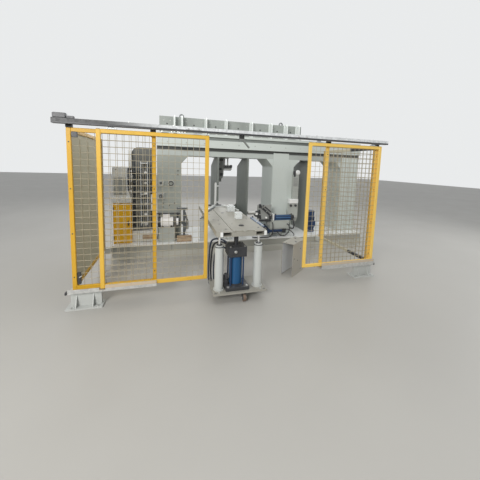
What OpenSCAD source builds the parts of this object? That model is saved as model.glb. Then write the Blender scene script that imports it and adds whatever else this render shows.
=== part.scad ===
// Rolling mill stand: a welded portal frame on a low bed, with a ribbed girder over it,
// a lift table in front, and two sliding mesh doors hung from one long track.
// X runs along the door track, Y from the operator's side to the back, Z up.
// The origin is on the floor, under the middle of the doorway and on the bed's centre line.

/* [Bed] */
// Reach of the bed to the left of the doorway's middle
bed_left = 1900; // [1750:10:2000]
// Reach of the bed to the right of the doorway's middle
bed_right = 3060; // [3060:10:3300]
// Depth of the bed, front to back
bed_d = 1100; // [1060:10:1200]
// Height of the bed's top surface
bed_h = 260; // [240:5:280]
// Thickness of the pale plate on the bed
bed_plate_t = 25; // [15:1:35]
// Overhang of the pale plate past the bed's front
bed_plate_lip = 15; // [5:1:25]
// Height of the wider foot of the bed
bed_foot_h = 125; // [90:5:150]
// How far the foot stands out from the bed
bed_foot_out = 30; // [10:1:40]

/* [Portal frame] */
// Left face of the left column, to the left of the doorway's middle
frame_left = 1200; // [1150:5:1250]
// Width of the left column
left_column_w = 415; // [380:5:450]
// Clear width between the left and the middle column
left_bay_w = 1790; // [1750:5:1850]
// Width of the middle column
middle_column_w = 470; // [430:5:500]
// Clear width between the middle and the right column
right_bay_w = 1135; // [1080:5:1150]
// Width of the right column
right_column_w = 450; // [400:5:450]
// Depth of the columns, front to back
column_d = 600; // [540:10:640]
// Height of the top of the openings
bay_top = 1800; // [1760:5:1840]
// Width of the gussets in the upper corners
gusset_w = 135; // [110:5:160]
// Height of the gussets in the upper corners
gusset_h = 150; // [120:5:180]
// Top of the cross beam
beam_top = 2200; // [2160:5:2240]
// Underside of the beam's lower ledge
ledge_z = 1955; // [1930:5:1980]
// Height of the beam's lower ledge
ledge_h = 140; // [90:5:150]
// Height of the beam's upper ledge
cap_ledge_h = 45; // [40:5:70]
// How far the ledges stand out of the beam
ledge_out = 45; // [30:1:60]

/* [Ribbed girder] */
// Left end of the girder, to the left of the doorway's middle
girder_left = 1160; // [1120:5:1180]
// Right end of the girder, to the right of the doorway's middle
girder_right = 1650; // [1600:5:1700]
// Height of the girder
girder_h = 290; // [260:5:310]
// Depth of the girder's box, front to back
girder_d = 400; // [360:10:440]
// Thickness of the ribs
rib_t = 20; // [14:1:26]
// How far the ribs rise over the girder
rib_rise = 12; // [6:1:20]
// Cut corner at the top of each rib
rib_cut = 45; // [30:1:60]

/* [Web plates] */
// Thickness of the inner web plates
web_t = 30; // [20:1:40]
// Height of the window's lower edge at the back of the tool bay
window_z = 745; // [730:5:760]
// Radius of that window's lower corners
window_r = 70; // [50:5:90]
// How far the web plates reach behind the columns
web_back = 210; // [150:5:230]
// Drop of their sloping back corner
web_drop = 170; // [120:5:200]

/* [Column bosses] */
// Diameter of the bearing boss on the left column
boss_d = 110; // [90:1:120]
// Bore of the bearing boss
boss_bore_d = 50; // [40:1:60]
// Diameter of the ring beside it
ring_d = 122; // [110:1:130]
// Side of the square flange below
flange_w = 120; // [100:1:130]
// Thickness of the bosses
boss_t = 30; // [20:1:40]

/* [Drive end] */
// Width of the control cabinet
cabinet_w = 285; // [250:5:285]
// Depth of the control cabinet
cabinet_d = 320; // [280:5:360]
// Height of the control cabinet
cabinet_h = 700; // [650:5:740]
// Width of the pale housing on the cabinet
housing_w = 220; // [200:5:240]
// Depth of that housing
housing_d = 280; // [260:5:290]
// Height of that housing
housing_h = 600; // [560:5:640]
// Width of the drive column
drive_w = 350; // [320:5:360]
// Depth of the drive column
drive_d = 420; // [380:5:460]
// Height of the drive column
drive_h = 1430; // [1380:5:1480]
// Height of the hood on the drive column
hood_h = 220; // [180:5:240]
// Diameter of the motor
motor_d = 165; // [150:1:175]
// Length of the motor
motor_l = 300; // [270:5:320]
// Height of the motor's centre above the bed
motor_z = 350; // [340:5:360]
// Width of each valve on the drive column
valve_w = 230; // [200:5:240]
// Depth of each valve
valve_d = 90; // [70:5:100]
// Height of each valve
valve_h = 120; // [100:5:130]
// Distance from one valve to the next
valve_pitch = 180; // [170:5:190]
// Height of the lowest valve above the bed
valve_z = 260; // [240:5:280]
// Width of the clamp's foot
clamp_w = 150; // [130:5:160]
// Height of the clamp
clamp_h = 600; // [560:10:620]
// Thickness of the clamp's bars
clamp_t = 40; // [34:2:46]

// Width of the block between the two cross cylinders
block_w = 415; // [400:5:430]
// Depth of that block, from the middle column
block_d = 230; // [226:1:236]
// Height of its underside
block_z = 424; // [424:1:430]
// Height of that block
block_h = 170; // [165:1:175]
// Height of the end plate on it
end_plate_h = 126; // [120:1:135]
// Thickness of the end plate
end_plate_t = 22; // [20:2:30]
// Distance of the cross cylinders in front of the columns
cross_out = 184; // [180:1:188]
// Width of the block with the valves on the middle column
port_block_w = 190; // [180:5:200]
// Depth of that block
port_block_d = 90; // [80:5:100]
// Height of that block
port_block_h = 384; // [370:2:400]
// Width of the duct over the valve block
duct_w = 120; // [110:5:125]
// Height of that duct
duct_h = 506; // [480:2:520]
// Width of the gripper's arm
grip_arm_w = 43; // [36:1:60]
// Distance of the jaw plate in front of the columns
grip_out = 220; // [200:5:230]
// Depth of the gripper's arm
grip_arm_d = 84; // [60:2:90]
// Width of the gripper's jaw plate
jaw_w = 280; // [260:5:290]
// Thickness of the jaw plate
jaw_t = 30; // [20:2:36]
// Height of the gripper's top
grip_h = 650; // [640:5:670]

/* [Tool head] */
// Width of the head
tool_w = 140; // [130:5:150]
// Depth of the head
tool_d = 120; // [110:5:130]
// Height of the head
tool_h = 420; // [400:5:430]
// Reach of the bracket at its right
arm_l = 170; // [150:5:180]
// Height of that bracket
arm_h = 90; // [80:5:100]
// Length of the stem under the head
stem_l = 70; // [50:5:70]

/* [Sheet cover] */
// Left end of the cover's front face, to the right of the doorway's middle
cover_x = 788; // [780:2:796]
// Distance of that corner behind the doors
cover_back = 203; // [190:1:215]
// Turn of the cover on the floor
cover_turn = 36.8; // [30:0.2:45]
// Width of the cover
cover_w = 417; // [400:1:425]
// Depth of the cover
cover_d = 192; // [180:1:200]
// Height of the cover
cover_h = 510; // [500:1:520]
// Thickness of the sheet
cover_t = 4; // [3:0.5:5]

/* [Guard] */
// Distance of the doors in front of the bed's centre line
door_y = 1984; // [1950:2:2010]
// Clear width between the inner posts
doorway_w = 2264; // [2240:2:2264]
// Width of each fixed panel
fixed_w = 893; // [885:1:900]
// Width of each sliding door
door_w = 1210; // [1200:1:1220]
// How far the left door stands open from the middle
left_open = 525; // [500:5:540]
// How far the right door stands open from the middle
right_open = 828; // [800:2:840]
// Height of the top of the guard
guard_top = 2000; // [1980:5:2010]
// Height of the bottom of the doors
door_z = 237; // [225:1:250]
// How much lower the left door reaches
left_drop = 24; // [0:1:24]
// Width of the frame tubes
tube_w = 45; // [40:1:50]
// Depth of the frame tubes
tube_d = 30; // [26:1:34]
// Gap between the doors and the fixed panels
panel_gap = 21; // [18:1:26]
// Pitch of the mesh
mesh_pitch = 70; // [70:1:90]
// Width of the mesh wires
wire_w = 5; // [4:0.5:6]
// Thickness of the sheet in the left side panel
shield_t = 3; // [2:0.5:4]

/* [Track and sill] */
// Gap between the top of the doors and the track
track_gap = 30; // [28:1:36]
// Height of the track
track_h = 55; // [52:1:60]
// Depth of the track
track_d = 60; // [56:1:64]
// Wall thickness of the track
track_t = 4; // [3:0.5:5]
// Width of the slot under the track
slot_w = 20; // [18:1:22]
// Reach of the track to each side of the doorway's middle
track_reach = 2130; // [2100:5:2150]
// Diameter of the door rollers
roller_d = 40; // [34:1:42]
// Height of the top of the sill
sill_top = 205; // [190:1:215]
// Height of the sill
sill_h = 15; // [10:1:20]
// Thickness of the flange in front of the doors
lip_t = 6; // [4:1:8]
// Height of that flange over the sill's top
lip_h = 80; // [60:1:85]
// Depth of the sill
sill_d = 120; // [110:2:130]
// Length of the foot plates on the floor
foot_l = 370; // [340:5:400]
// Depth of the foot plates
foot_d = 180; // [160:5:200]
// Thickness of the foot plates
foot_t = 15; // [10:1:20]

/* [Lift table] */
// Middle of the table, to the left of the doorway's middle
table_off = 152; // [140:2:160]
// Middle of the table plate, to the left of its guides' middle
table_shift = 23; // [18:1:28]
// Width of the table
table_w = 600; // [590:2:610]
// Length of the table
table_l = 1906; // [1880:2:1930]
// How far the table's front edge stands out of the doors
table_out = 356; // [340:2:370]
// Height of the table's top at rest
table_z = 905; // [895:1:915]
// Thickness of the table
table_t = 60; // [56:1:64]
// Width of the hollow rails along both sides
rail_w = 190; // [180:1:195]
// Wall of the hollow rails
rail_wall = 10; // [8:0.5:12]
// Diameter of the guide sleeves
sleeve_d = 108; // [96:1:112]
// Diameter of the guide rods
rod_d = 30; // [26:1:34]
// Distance between the guides across the table
guide_gap = 500; // [470:5:505]
// Height of the sleeves' top collars
collar_h = 24; // [18:1:28]
// Top of the front sleeves
sleeve_top = 690; // [670:5:700]
// Lowest position of the table, below rest
lift_down = 110; // [90:5:120]
// Highest position of the table, above rest
lift_up = 100; // [80:5:110]
// Width of the base plate
base_w = 670; // [660:5:690]
// Depth of the base plate
base_d = 420; // [400:5:440]
// How far the base plate's front edge stands out of the doors
base_out = 290; // [280:5:300]
// Height of the base plate's top
base_z = 128; // [124:1:134]
// Thickness of the base plate
base_t = 18; // [14:1:20]

/* [Lift cylinder] */
// Width of the square foot of the lift cylinder
cyl_foot_w = 290; // [270:2:300]
// Thickness of that foot
cyl_foot_t = 42; // [36:1:48]
// Diameter of the blue barrel
barrel_d = 165; // [155:1:180]
// Height of the blue barrel
barrel_h = 375; // [360:1:380]
// Width of the black head
head_w = 220; // [210:2:228]
// Height of the black head
head_h = 120; // [110:1:125]
// How far the cylinder stands to the left of the table's middle
cyl_left = 28; // [0:1:30]
// Diameter of the piston rod
piston_rod_d = 56; // [50:1:60]

/* [Caster] */
// Diameter of the caster wheel
wheel_d = 88; // [84:1:90]
// Width of the caster wheel
wheel_w = 34; // [30:1:38]
// Trail of the wheel behind the swivel
trail = 22; // [16:1:24]

/* [Hydraulics on the bed] */
// Diameter of the upper cross cylinder
cross_cyl_d = 100; // [94:1:104]
// Length of the upper cross cylinder
cross_cyl_l = 420; // [400:5:425]
// Diameter of the lower cross cylinder
low_cyl_d = 84; // [78:1:85]
// Length of the lower cross cylinder
low_cyl_l = 375; // [350:5:380]
// Height of the lower cross cylinder's axis
low_cyl_z = 380; // [374:1:381]
// Diameter of the long pull cylinder
pull_cyl_d = 96; // [90:1:100]
// Length of the long pull cylinder
pull_cyl_l = 880; // [850:5:920]
// Height of the pull cylinder's axis
pull_cyl_z = 420; // [410:1:430]
// Diameter of the side motor
side_motor_d = 190; // [170:2:200]
// Height of the side motor
side_motor_h = 380; // [350:5:400]

/* [Clearances] */
// Radial clearance of the rods in their sleeves
run_gap = 0.05; // [0.02:0.01:0.1]
// Clearance of the rollers over the track's lips
seat_gap = 0.3; // [0.2:0.1:0.5]

/* [Hidden] */
$fn = 48;
sliver = 1;

left_column_x = -frame_left;
middle_column_x = left_column_x + left_column_w + left_bay_w;
right_column_x = middle_column_x + middle_column_w + right_bay_w;
beam_end = right_column_x + right_column_w;
col_front = -column_d / 2;
rib_out = column_d / 2 + ledge_out - girder_d / 2;
rib_places = [-900, -768, -340, 41, 540, 943, 1273, 1539];
web_places = [-100, 490, 1850];

post_x = doorway_w / 2;
guard_end = post_x + fixed_w;
door_h = guard_top - door_z;
fixed_y = -door_y + tube_d + panel_gap;
fixed_h = guard_top - sill_top;
track_top = guard_top + track_gap + track_h;
left_door_x = -left_open - door_w;
right_door_x = right_open;
side_front = fixed_y + tube_d / 2;
side_l = -side_front - bed_d / 2 - bed_plate_lip;

table_x = -table_off;
table_front = -door_y - table_out;
table_back = table_front + table_l;
guide_x = [table_x - guide_gap / 2, table_x + guide_gap / 2];
plate_x0 = table_x - table_shift - table_w / 2;
base_front = -door_y - base_out;
front_guide_y = base_front + 140;
back_guide_y = -bed_d / 2 + 60;
cyl_y = base_front + base_d / 2 - 20;
cyl_z = base_z + cyl_foot_t;
head_z = cyl_z + barrel_h;
cyl_x = table_x - cyl_left;
rod_top = table_z - table_t;

// Parts of the frame

module xz_plate(points, y0, y1) {
  translate([0, y1, 0]) rotate([90, 0, 0]) linear_extrude(y1 - y0) polygon(points);
}

module yz_plate(points, x0, x1) {
  translate([x0, 0, 0]) rotate([90, 0, 90]) linear_extrude(x1 - x0) polygon(points);
}

module block(x0, x1, y0, y1, z0, z1) {
  translate([x0, y0, z0]) cube([x1 - x0, y1 - y0, z1 - z0]);
}

module bed() {
  half = bed_d / 2;
  foot = half + bed_foot_out;
  body_top = bed_h - bed_plate_t;
  color([0.62, 0.66, 0.62])
    yz_plate([[-foot, 0], [foot, 0], [foot, bed_foot_h], [half, bed_foot_h], [half, body_top],
              [-half, body_top], [-half, bed_foot_h], [-foot, bed_foot_h]], -bed_left, bed_right);
}

module bed_top_plate() {
  half = bed_d / 2 + bed_plate_lip;
  color([0.88, 0.89, 0.87])
    block(-bed_left, bed_right, -half, half, bed_h - bed_plate_t, bed_h);
}

// A box column with a gusset at its head on each side that faces an opening
module column(x, w, left_gusset, right_gusset) {
  shoulder = bay_top - gusset_h;
  left_side = left_gusset ? [[x - gusset_w, bay_top], [x, shoulder]] : [[x, bay_top]];
  right_side = right_gusset ? [[x + w, shoulder], [x + w + gusset_w, bay_top]] : [[x + w, bay_top]];
  color([0.66, 0.70, 0.66])
    xz_plate(concat([[x, bed_h], [x + w, bed_h]], right_side, left_side), col_front, -col_front);
}

module top_beam() {
  half = column_d / 2;
  out = half + ledge_out;
  ledge_top = ledge_z + ledge_h;
  cap_z = beam_top - cap_ledge_h;
  right_edge = [[half, bay_top], [half, ledge_z], [out, ledge_z], [out, ledge_top],
                [half, ledge_top], [half, cap_z], [out, cap_z], [out, beam_top]];
  left_edge = [for (i = [len(right_edge) - 1 : -1 : 0]) [-right_edge[i][0], right_edge[i][1]]];
  color([0.66, 0.70, 0.66]) yz_plate(concat(right_edge, left_edge), left_column_x, beam_end);
}

module girder_box() {
  half = girder_d / 2;
  color([0.70, 0.74, 0.71]) block(-girder_left, girder_right, -half, half, beam_top, beam_top + girder_h);
}

module rib(x, side) {
  inner = side * girder_d / 2;
  outer = side * (girder_d / 2 + rib_out);
  top = beam_top + girder_h + rib_rise;
  color([0.76, 0.79, 0.76])
    yz_plate([[inner, beam_top], [outer, beam_top], [outer, top - rib_cut],
              [outer - side * rib_cut, top], [inner, top]], x - rib_t / 2, x + rib_t / 2);
}

module girder_ribs() {
  for (x = rib_places, side = [-1, 1]) rib(x, side);
}

module lifting_eyes() {
  top = beam_top + girder_h;
  eye_r = 45;
  color([0.55, 0.57, 0.56]) for (x = [rib_places[1], rib_places[6]])
    translate([x, 0, top]) rotate([90, 0, 0])
      linear_extrude(24, center = true) difference() {
        union() {
          translate([0, eye_r]) circle(r = eye_r);
          translate([-eye_r, 0]) square([2 * eye_r, eye_r]);
        }
        translate([0, eye_r]) circle(r = eye_r / 2);
      }
}

// Three upright webs, and the cross plate that closes the lower back of the tool bay
module web_plates() {
  back = -col_front + web_back;
  start = -col_front - 200;
  x0 = web_places[0] + web_t / 2 - sliver;
  x1 = web_places[1] - web_t / 2 + sliver;
  r = window_r;
  color([0.50, 0.53, 0.51]) {
    for (x = web_places)
      yz_plate([[col_front, bed_h], [back, bed_h], [back, bay_top - web_drop], [start, bay_top],
                [col_front, bay_top]], x - web_t / 2, x + web_t / 2);
    xz_plate(concat([[x0, bed_h], [x1, bed_h]],
                    [for (a = [0 : 15 : 90]) [x1 - r + r * cos(a), window_z + r - r * sin(a)]],
                    [for (a = [90 : 15 : 180]) [x0 + r + r * cos(a), window_z + r - r * sin(a)]]),
             back - web_t, back);
  }
}

module front_disc(x, z, d, t) {
  translate([x, col_front, z]) rotate([90, 0, 0]) cylinder(d = d, h = t);
}

module column_bosses() {
  boss_x = left_column_x + 67;
  flange_z = bed_h + 801;
  color([0.80, 0.82, 0.80]) {
    difference() {
      front_disc(boss_x, flange_z + 235, boss_d, boss_t);
      front_disc(boss_x, flange_z + 235, boss_bore_d, boss_t + sliver);
    }
    difference() {
      front_disc(boss_x + 172, flange_z + 227, ring_d, boss_t / 2);
      front_disc(boss_x + 172, flange_z + 227, ring_d - 28, boss_t);
    }
    translate([boss_x - flange_w / 2, col_front - boss_t, flange_z - flange_w / 2])
      cube([flange_w, boss_t, flange_w]);
  }
}

// Drive end, to the left of the left column

cabinet_x = -bed_left + 5;
cabinet_y = -440;

module control_cabinet() {
  color([0.82, 0.60, 0.14])
    block(cabinet_x, cabinet_x + cabinet_w, cabinet_y, cabinet_y + cabinet_d, bed_h, bed_h + cabinet_h);
  color([0.88, 0.89, 0.87])
    block(cabinet_x, cabinet_x + housing_w, cabinet_y + 20, cabinet_y + 20 + housing_d,
          bed_h + cabinet_h - sliver, bed_h + cabinet_h + housing_h);
}

drive_x = left_column_x - 60 - drive_w;
drive_y = -300;

module drive_column() {
  color([0.33, 0.36, 0.37])
    block(drive_x, drive_x + drive_w, drive_y, drive_y + drive_d, bed_h, bed_h + drive_h);
}

module drive_hood() {
  z = bed_h + drive_h;
  r = 110;
  color([0.72, 0.76, 0.78])
    xz_plate(concat([[drive_x + drive_w, z], [drive_x + drive_w, z + hood_h]],
                    [for (a = [90 : 10 : 180]) [drive_x + r + r * cos(a), z + hood_h - r + r * sin(a)]],
                    [[drive_x, z]]), drive_y, drive_y + drive_d);
}

module valve_stack() {
  color([0.16, 0.17, 0.18]) for (i = [0 : 5])
    translate([drive_x + (drive_w - valve_w) / 2, drive_y - valve_d, bed_h + valve_z + i * valve_pitch])
      cube([valve_w, valve_d, valve_h]);
}

motor_x = left_column_x + 20;
motor_y = -425;

module drive_motor() {
  z = bed_h + motor_z;
  color([0.86, 0.87, 0.86]) {
    translate([motor_x, motor_y, z]) rotate([0, 90, 0]) cylinder(d = motor_d, h = motor_l);
    translate([motor_x - 40, motor_y, z]) rotate([0, 90, 0]) cylinder(d = 60, h = 40);
    translate([motor_x + motor_l, motor_y, z]) rotate([0, 90, 0]) cylinder(d = motor_d - 30, h = 45);
  }
}

module motor_plinth() {
  top = bed_h + motor_z - motor_d / 2 - seat_gap;
  color([0.50, 0.40, 0.30])
    block(motor_x + 20, motor_x + motor_l - 20, motor_y - 70, motor_y + 70, bed_h, top);
}

module clamp_link() {
  x = left_column_x + left_column_w - clamp_w / 10;
  y = col_front - 2.5 * clamp_t;
  foot_h = 0.6 * clamp_w;
  bar_z = bed_h + clamp_h - clamp_t;
  post_x0 = x + clamp_w / 3;
  half = 0.625 * clamp_t;
  color([0.22, 0.23, 0.24]) {
    block(x, x + clamp_w, y - clamp_t, y + clamp_t, bed_h, bed_h + foot_h);
    block(post_x0, post_x0 + clamp_t, y - half, y + half, bed_h + foot_h, bar_z);
    block(x - 0.4 * clamp_w, post_x0 + 2 * clamp_t, y - half, y + half, bar_z, bar_z + clamp_t);
  }
}

// Tools in the openings

// A funnel shaped head under the beam, its bracket at the right, and a stem
module guide_head() {
  x = web_places[0] + web_t / 2 + 8;
  z = bay_top - tool_h;
  arm_z = z + 175;
  color([0.17, 0.18, 0.19]) {
    xz_plate([[x, bay_top], [x, z + 240], [x + 0.35 * tool_w, z], [x + 0.85 * tool_w, z],
              [x + tool_w, z + 80], [x + tool_w, bay_top]], 0, tool_d);
    block(x + tool_w - sliver, x + tool_w + arm_l, 20, tool_d - 20, arm_z, arm_z + arm_h);
    block(x + 0.45 * tool_w, x + 0.75 * tool_w, 30, 90, z - stem_l, z + sliver);
  }
}

mount_x = middle_column_x - 100;
cross_y = col_front - cross_out;
pull_x = mount_x - 7 - pull_cyl_d / 2;
pull_y = cross_y + 54;
plate_x = mount_x + 65;

// A saddle on the bed, up to the underside of a cylinder
module saddle(x, y, w, d, z) {
  block(x - w / 2, x + w / 2, y - d / 2, y + d / 2, bed_h, z - seat_gap);
}

// The block between the cross cylinders, its end plate, the saddles and the valve block on the middle column
module hydraulic_blocks() {
  valve_x = middle_column_x + middle_column_w - 95;
  valve_z = bed_h + 350;
  top = block_z + block_h;
  color([0.78, 0.80, 0.78]) {
    block(mount_x, mount_x + block_w, col_front - block_d, col_front, block_z, top);
    block(plate_x, plate_x + end_plate_t, col_front - block_d, cross_y + 0.6 * cross_cyl_d,
          top - sliver, top + end_plate_h);
    for (x = [mount_x + 40, mount_x + low_cyl_l - 80])
      saddle(x, cross_y, 30, 0.9 * low_cyl_d, low_cyl_z - low_cyl_d / 2);
    for (y = [pull_y + 110, pull_y + pull_cyl_l - 150])
      saddle(pull_x, y, 0.9 * pull_cyl_d, 40, pull_cyl_z - pull_cyl_d / 2);
    block(valve_x, valve_x + port_block_w, col_front - port_block_d, col_front, valve_z, valve_z + port_block_h);
    block(valve_x + 70, valve_x + 70 + duct_w, col_front - port_block_d + 20, col_front,
          valve_z + port_block_h - sliver, valve_z + port_block_h + duct_h);
  }
}

// The upper cross cylinder with its rod, and the lower one
module cross_cylinder() {
  x = plate_x + end_plate_t + seat_gap;
  z = block_z + block_h + cross_cyl_d / 2 + seat_gap;
  color([0.08, 0.17, 0.32]) {
    translate([x, cross_y, z]) rotate([0, 90, 0]) cylinder(d = cross_cyl_d, h = cross_cyl_l);
    translate([x + cross_cyl_l, cross_y, z]) rotate([0, 90, 0])
      cylinder(d = 0.37 * cross_cyl_d, h = 0.1 * cross_cyl_l);
    translate([mount_x - 25, cross_y, low_cyl_z]) rotate([0, 90, 0]) cylinder(d = low_cyl_d, h = low_cyl_l);
  }
}

module pull_cylinder() {
  color([0.11, 0.30, 0.55])
    translate([pull_x, pull_y, pull_cyl_z]) rotate([-90, 0, 0]) cylinder(d = pull_cyl_d, h = pull_cyl_l);
}

module gripper() {
  x = web_places[1] + 145;
  front = col_front - grip_out;
  color([0.12, 0.12, 0.13]) {
    block(mount_x - grip_arm_w, mount_x, front - sliver, front + grip_arm_d, block_z + 0.45 * block_h,
          bed_h + grip_h - jaw_w + 30);
    block(x, x + jaw_w, front - jaw_t, front, bed_h + grip_h - jaw_w, bed_h + grip_h);
  }
}

module side_motor() {
  foot_h = 40;
  foot_d = side_motor_d + 30;
  x = web_places[2] + web_t / 2 + 5 + foot_d / 2;
  y = col_front + 100;
  color([0.07, 0.15, 0.30]) {
    translate([x, y, bed_h]) cylinder(d = foot_d, h = foot_h);
    translate([x, y, bed_h + foot_h]) cylinder(d = side_motor_d, h = side_motor_h);
  }
}

// Guard panels, doors and track

// Outline of a mesh panel seen from the front, with its lower left corner at the origin
module mesh_outline(w, h) {
  inner_w = w - 2 * tube_w;
  inner_h = h - 2 * tube_w;
  nx = max(1, round(inner_w / mesh_pitch));
  nz = max(1, round(inner_h / mesh_pitch));
  px = (inner_w + wire_w) / nx;
  pz = (inner_h + wire_w) / nz;
  difference() {
    translate([sliver, sliver]) square([w - 2 * sliver, h - 2 * sliver]);
    for (i = [0 : nx - 1], j = [0 : nz - 1])
      translate([tube_w + i * px, tube_w + j * pz]) square([px - wire_w, pz - wire_w]);
  }
}

module panel_frame(w, h) {
  linear_extrude(tube_d, center = true) difference() {
    square([w, h]);
    translate([tube_w, tube_w]) square([w - 2 * tube_w, h - 2 * tube_w]);
  }
}

module panel(w, h) {
  rotate([90, 0, 0]) {
    panel_frame(w, h);
    linear_extrude(wire_w, center = true) mesh_outline(w, h);
  }
}

// The same frame with a closed sheet in it
module sheet_panel(w, h) {
  rotate([90, 0, 0]) {
    panel_frame(w, h);
    linear_extrude(shield_t, center = true) translate([sliver, sliver]) square([w - 2 * sliver, h - 2 * sliver]);
  }
}

module fixed_panel(x) {
  color([0.80, 0.62, 0.22]) translate([x, fixed_y, sill_top]) panel(fixed_w, fixed_h);
}

module left_side(x) {
  color([0.58, 0.56, 0.48]) translate([x, side_front, sill_top]) rotate([0, 0, 90]) sheet_panel(side_l, fixed_h);
}

module right_side(x) {
  color([0.80, 0.62, 0.22]) translate([x, side_front, sill_top]) rotate([0, 0, 90]) panel(side_l, fixed_h);
}

module door(x, drop) {
  color([0.88, 0.70, 0.26]) translate([x, -door_y, door_z - drop]) panel(door_w, door_h + drop);
}

lip_z = track_top - track_h + track_t;
roller_z = lip_z + roller_d / 2 + seat_gap;

module hanger(x) {
  plate_t = 8;
  plate_w = 60;
  roller_w = track_d - 2 * track_t - 10;
  color([0.75, 0.77, 0.78]) {
    translate([x - plate_w / 2, -door_y - plate_t / 2, guard_top]) cube([plate_w, plate_t, roller_z - guard_top]);
    translate([x, -door_y + roller_w / 2, roller_z]) rotate([90, 0, 0]) cylinder(d = roller_d, h = roller_w);
  }
}

module hangers(x) {
  inset = 150;
  hanger(x + inset);
  hanger(x + door_w - inset);
}

module door_track() {
  half = track_d / 2;
  color([0.70, 0.73, 0.76]) difference() {
    block(-track_reach, track_reach, -door_y - half, -door_y + half, track_top - track_h, track_top);
    block(-track_reach - sliver, track_reach + sliver, -door_y - half + track_t, -door_y + half - track_t,
          lip_z, track_top - track_t);
    block(-track_reach - sliver, track_reach + sliver, -door_y - slot_w / 2, -door_y + slot_w / 2,
          track_top - track_h - sliver, lip_z + sliver);
  }
}

module track_brackets() {
  y0 = -door_y + track_d / 2;
  y1 = fixed_y + tube_d / 2;
  w = tube_w + 15;
  top = track_top - track_h / 5;
  color([0.12, 0.12, 0.13])
    for (x = [-guard_end + w / 2, -post_x - w / 2, post_x + w / 2, guard_end - w / 2])
      block(x - w / 2, x + w / 2, y0, y1, guard_top, top);
  color([0.12, 0.12, 0.13]) track_clamp();
}

// A clamp under the middle of the track, with a short arm that slopes down to the right
module track_clamp() {
  x = table_x + 32;
  high = track_top - track_h;
  low = high - 66;
  half = 30;
  reach = 104;
  drop = 90;
  half_d = track_d / 4 - 1;
  xz_plate([[x - half, low], [x + 12, low], [x + reach - 10, low - drop], [x + reach, low - drop + 12],
            [x + half, low + 4], [x + half, high], [x - half, high]], -door_y - half_d, -door_y + half_d);
}

// Angles that hold the back ends of the side panels to the bed
module side_brackets() {
  z0 = bed_foot_h + 25;
  z1 = bed_h - bed_plate_t;
  reach = 45;
  back = -bed_d / 2;
  inner = guard_end - tube_d;
  block(-inner, -bed_left, back - bed_plate_lip - reach, back + reach, z0, z1);
  block(inner - 60, inner, back - bed_plate_lip - reach, back, z0, z1);
}

// Upright flange on a sill, in front of the doors
module lip(x0, x1, h) {
  front = fixed_y + tube_d / 2 + 20 - sill_d;
  block(x0, x1, front, front + lip_t, sill_top - sliver, sill_top + h);
}

module sills() {
  back = fixed_y + tube_d / 2 + 20;
  over = 30;
  color([0.72, 0.72, 0.70]) {
    for (x = [-guard_end - over, post_x])
      block(x, x + fixed_w + over, back - sill_d, back, sill_top - sill_h, sill_top);
    lip(post_x, guard_end + over, lip_h);
    lip(-guard_end - over, left_door_x - 10, 0.4 * lip_h);
    lip(left_door_x + tube_w + 10, -post_x, 0.72 * lip_h);
  }
}

module guard_feet() {
  color([0.62, 0.64, 0.62]) side_brackets();
  color([0.62, 0.64, 0.62]) for (side = [-1, 1]) {
    outer = side * (guard_end + 60);
    inner = side * (guard_end + 60 - foot_l);
    x0 = min(outer, inner);
    block(x0, x0 + foot_l, fixed_y - foot_d / 2, fixed_y + foot_d / 2, 0, foot_t);
    block(x0 + 40, x0 + foot_l - 20, fixed_y - 20, fixed_y + 20, foot_t, sill_top - sill_h);
  }
}

// Lift table

module table_top() {
  x0 = plate_x0;
  z0 = table_z - table_t;
  pocket = 160;
  pocket_w = rail_w - 90;
  plate_drop = 8;
  cut = 42;
  color([0.80, 0.80, 0.76]) difference() {
    block(x0, x0 + table_w, table_front, table_back, z0, table_z);
    translate([0, 0, z0 - sliver]) linear_extrude(table_t + 2 * sliver)
      polygon([[x0 - sliver, table_front - sliver], [x0 + cut, table_front - sliver], [x0 - sliver, table_front + cut]]);
    for (x = [x0 + rail_w - pocket_w - 16, x0 + table_w - pocket_w - 29])
      block(x, x + pocket_w, table_front - sliver, table_front + pocket, z0 + rail_wall, table_z - rail_wall);
    for (x = [x0 + rail_w + 20, x0 + rail_w + 159])
      block(x, x + 105, table_front - sliver, table_front + 30, table_z - plate_drop - 8, table_z + sliver);
    block(x0 + rail_w - 4, x0 + rail_w + 4, table_front - sliver, table_back + sliver, table_z - plate_drop, table_z + sliver);
    for (x = [table_x - 60, table_x + 60], y = [table_front + 380, table_front + 1250])
      translate([x, y, z0 - sliver]) cylinder(d = 18, h = table_t + 2 * sliver);
  }
}

module guide_rods() {
  color([0.85, 0.86, 0.87]) for (x = guide_x) {
    translate([x, front_guide_y, base_z + lift_down + 30]) cylinder(d = rod_d, h = rod_top - base_z - lift_down - 30);
    translate([x, back_guide_y, bed_h + lift_down + 30]) cylinder(d = rod_d, h = rod_top - bed_h - lift_down - 30);
  }
}

module sleeve(x, y, z0) {
  difference() {
    union() {
      translate([x, y, z0]) cylinder(d = sleeve_d, h = sleeve_top - z0 - collar_h);
      translate([x, y, sleeve_top - collar_h]) cylinder(d = sleeve_d - 8, h = collar_h);
    }
    translate([x, y, z0 + 20]) cylinder(d = rod_d + 2 * run_gap, h = sleeve_top - z0);
  }
}

module guide_sleeves() {
  color([0.72, 0.75, 0.73]) for (x = guide_x) {
    sleeve(x, front_guide_y, base_z);
    sleeve(x, back_guide_y, bed_h);
  }
}

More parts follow.
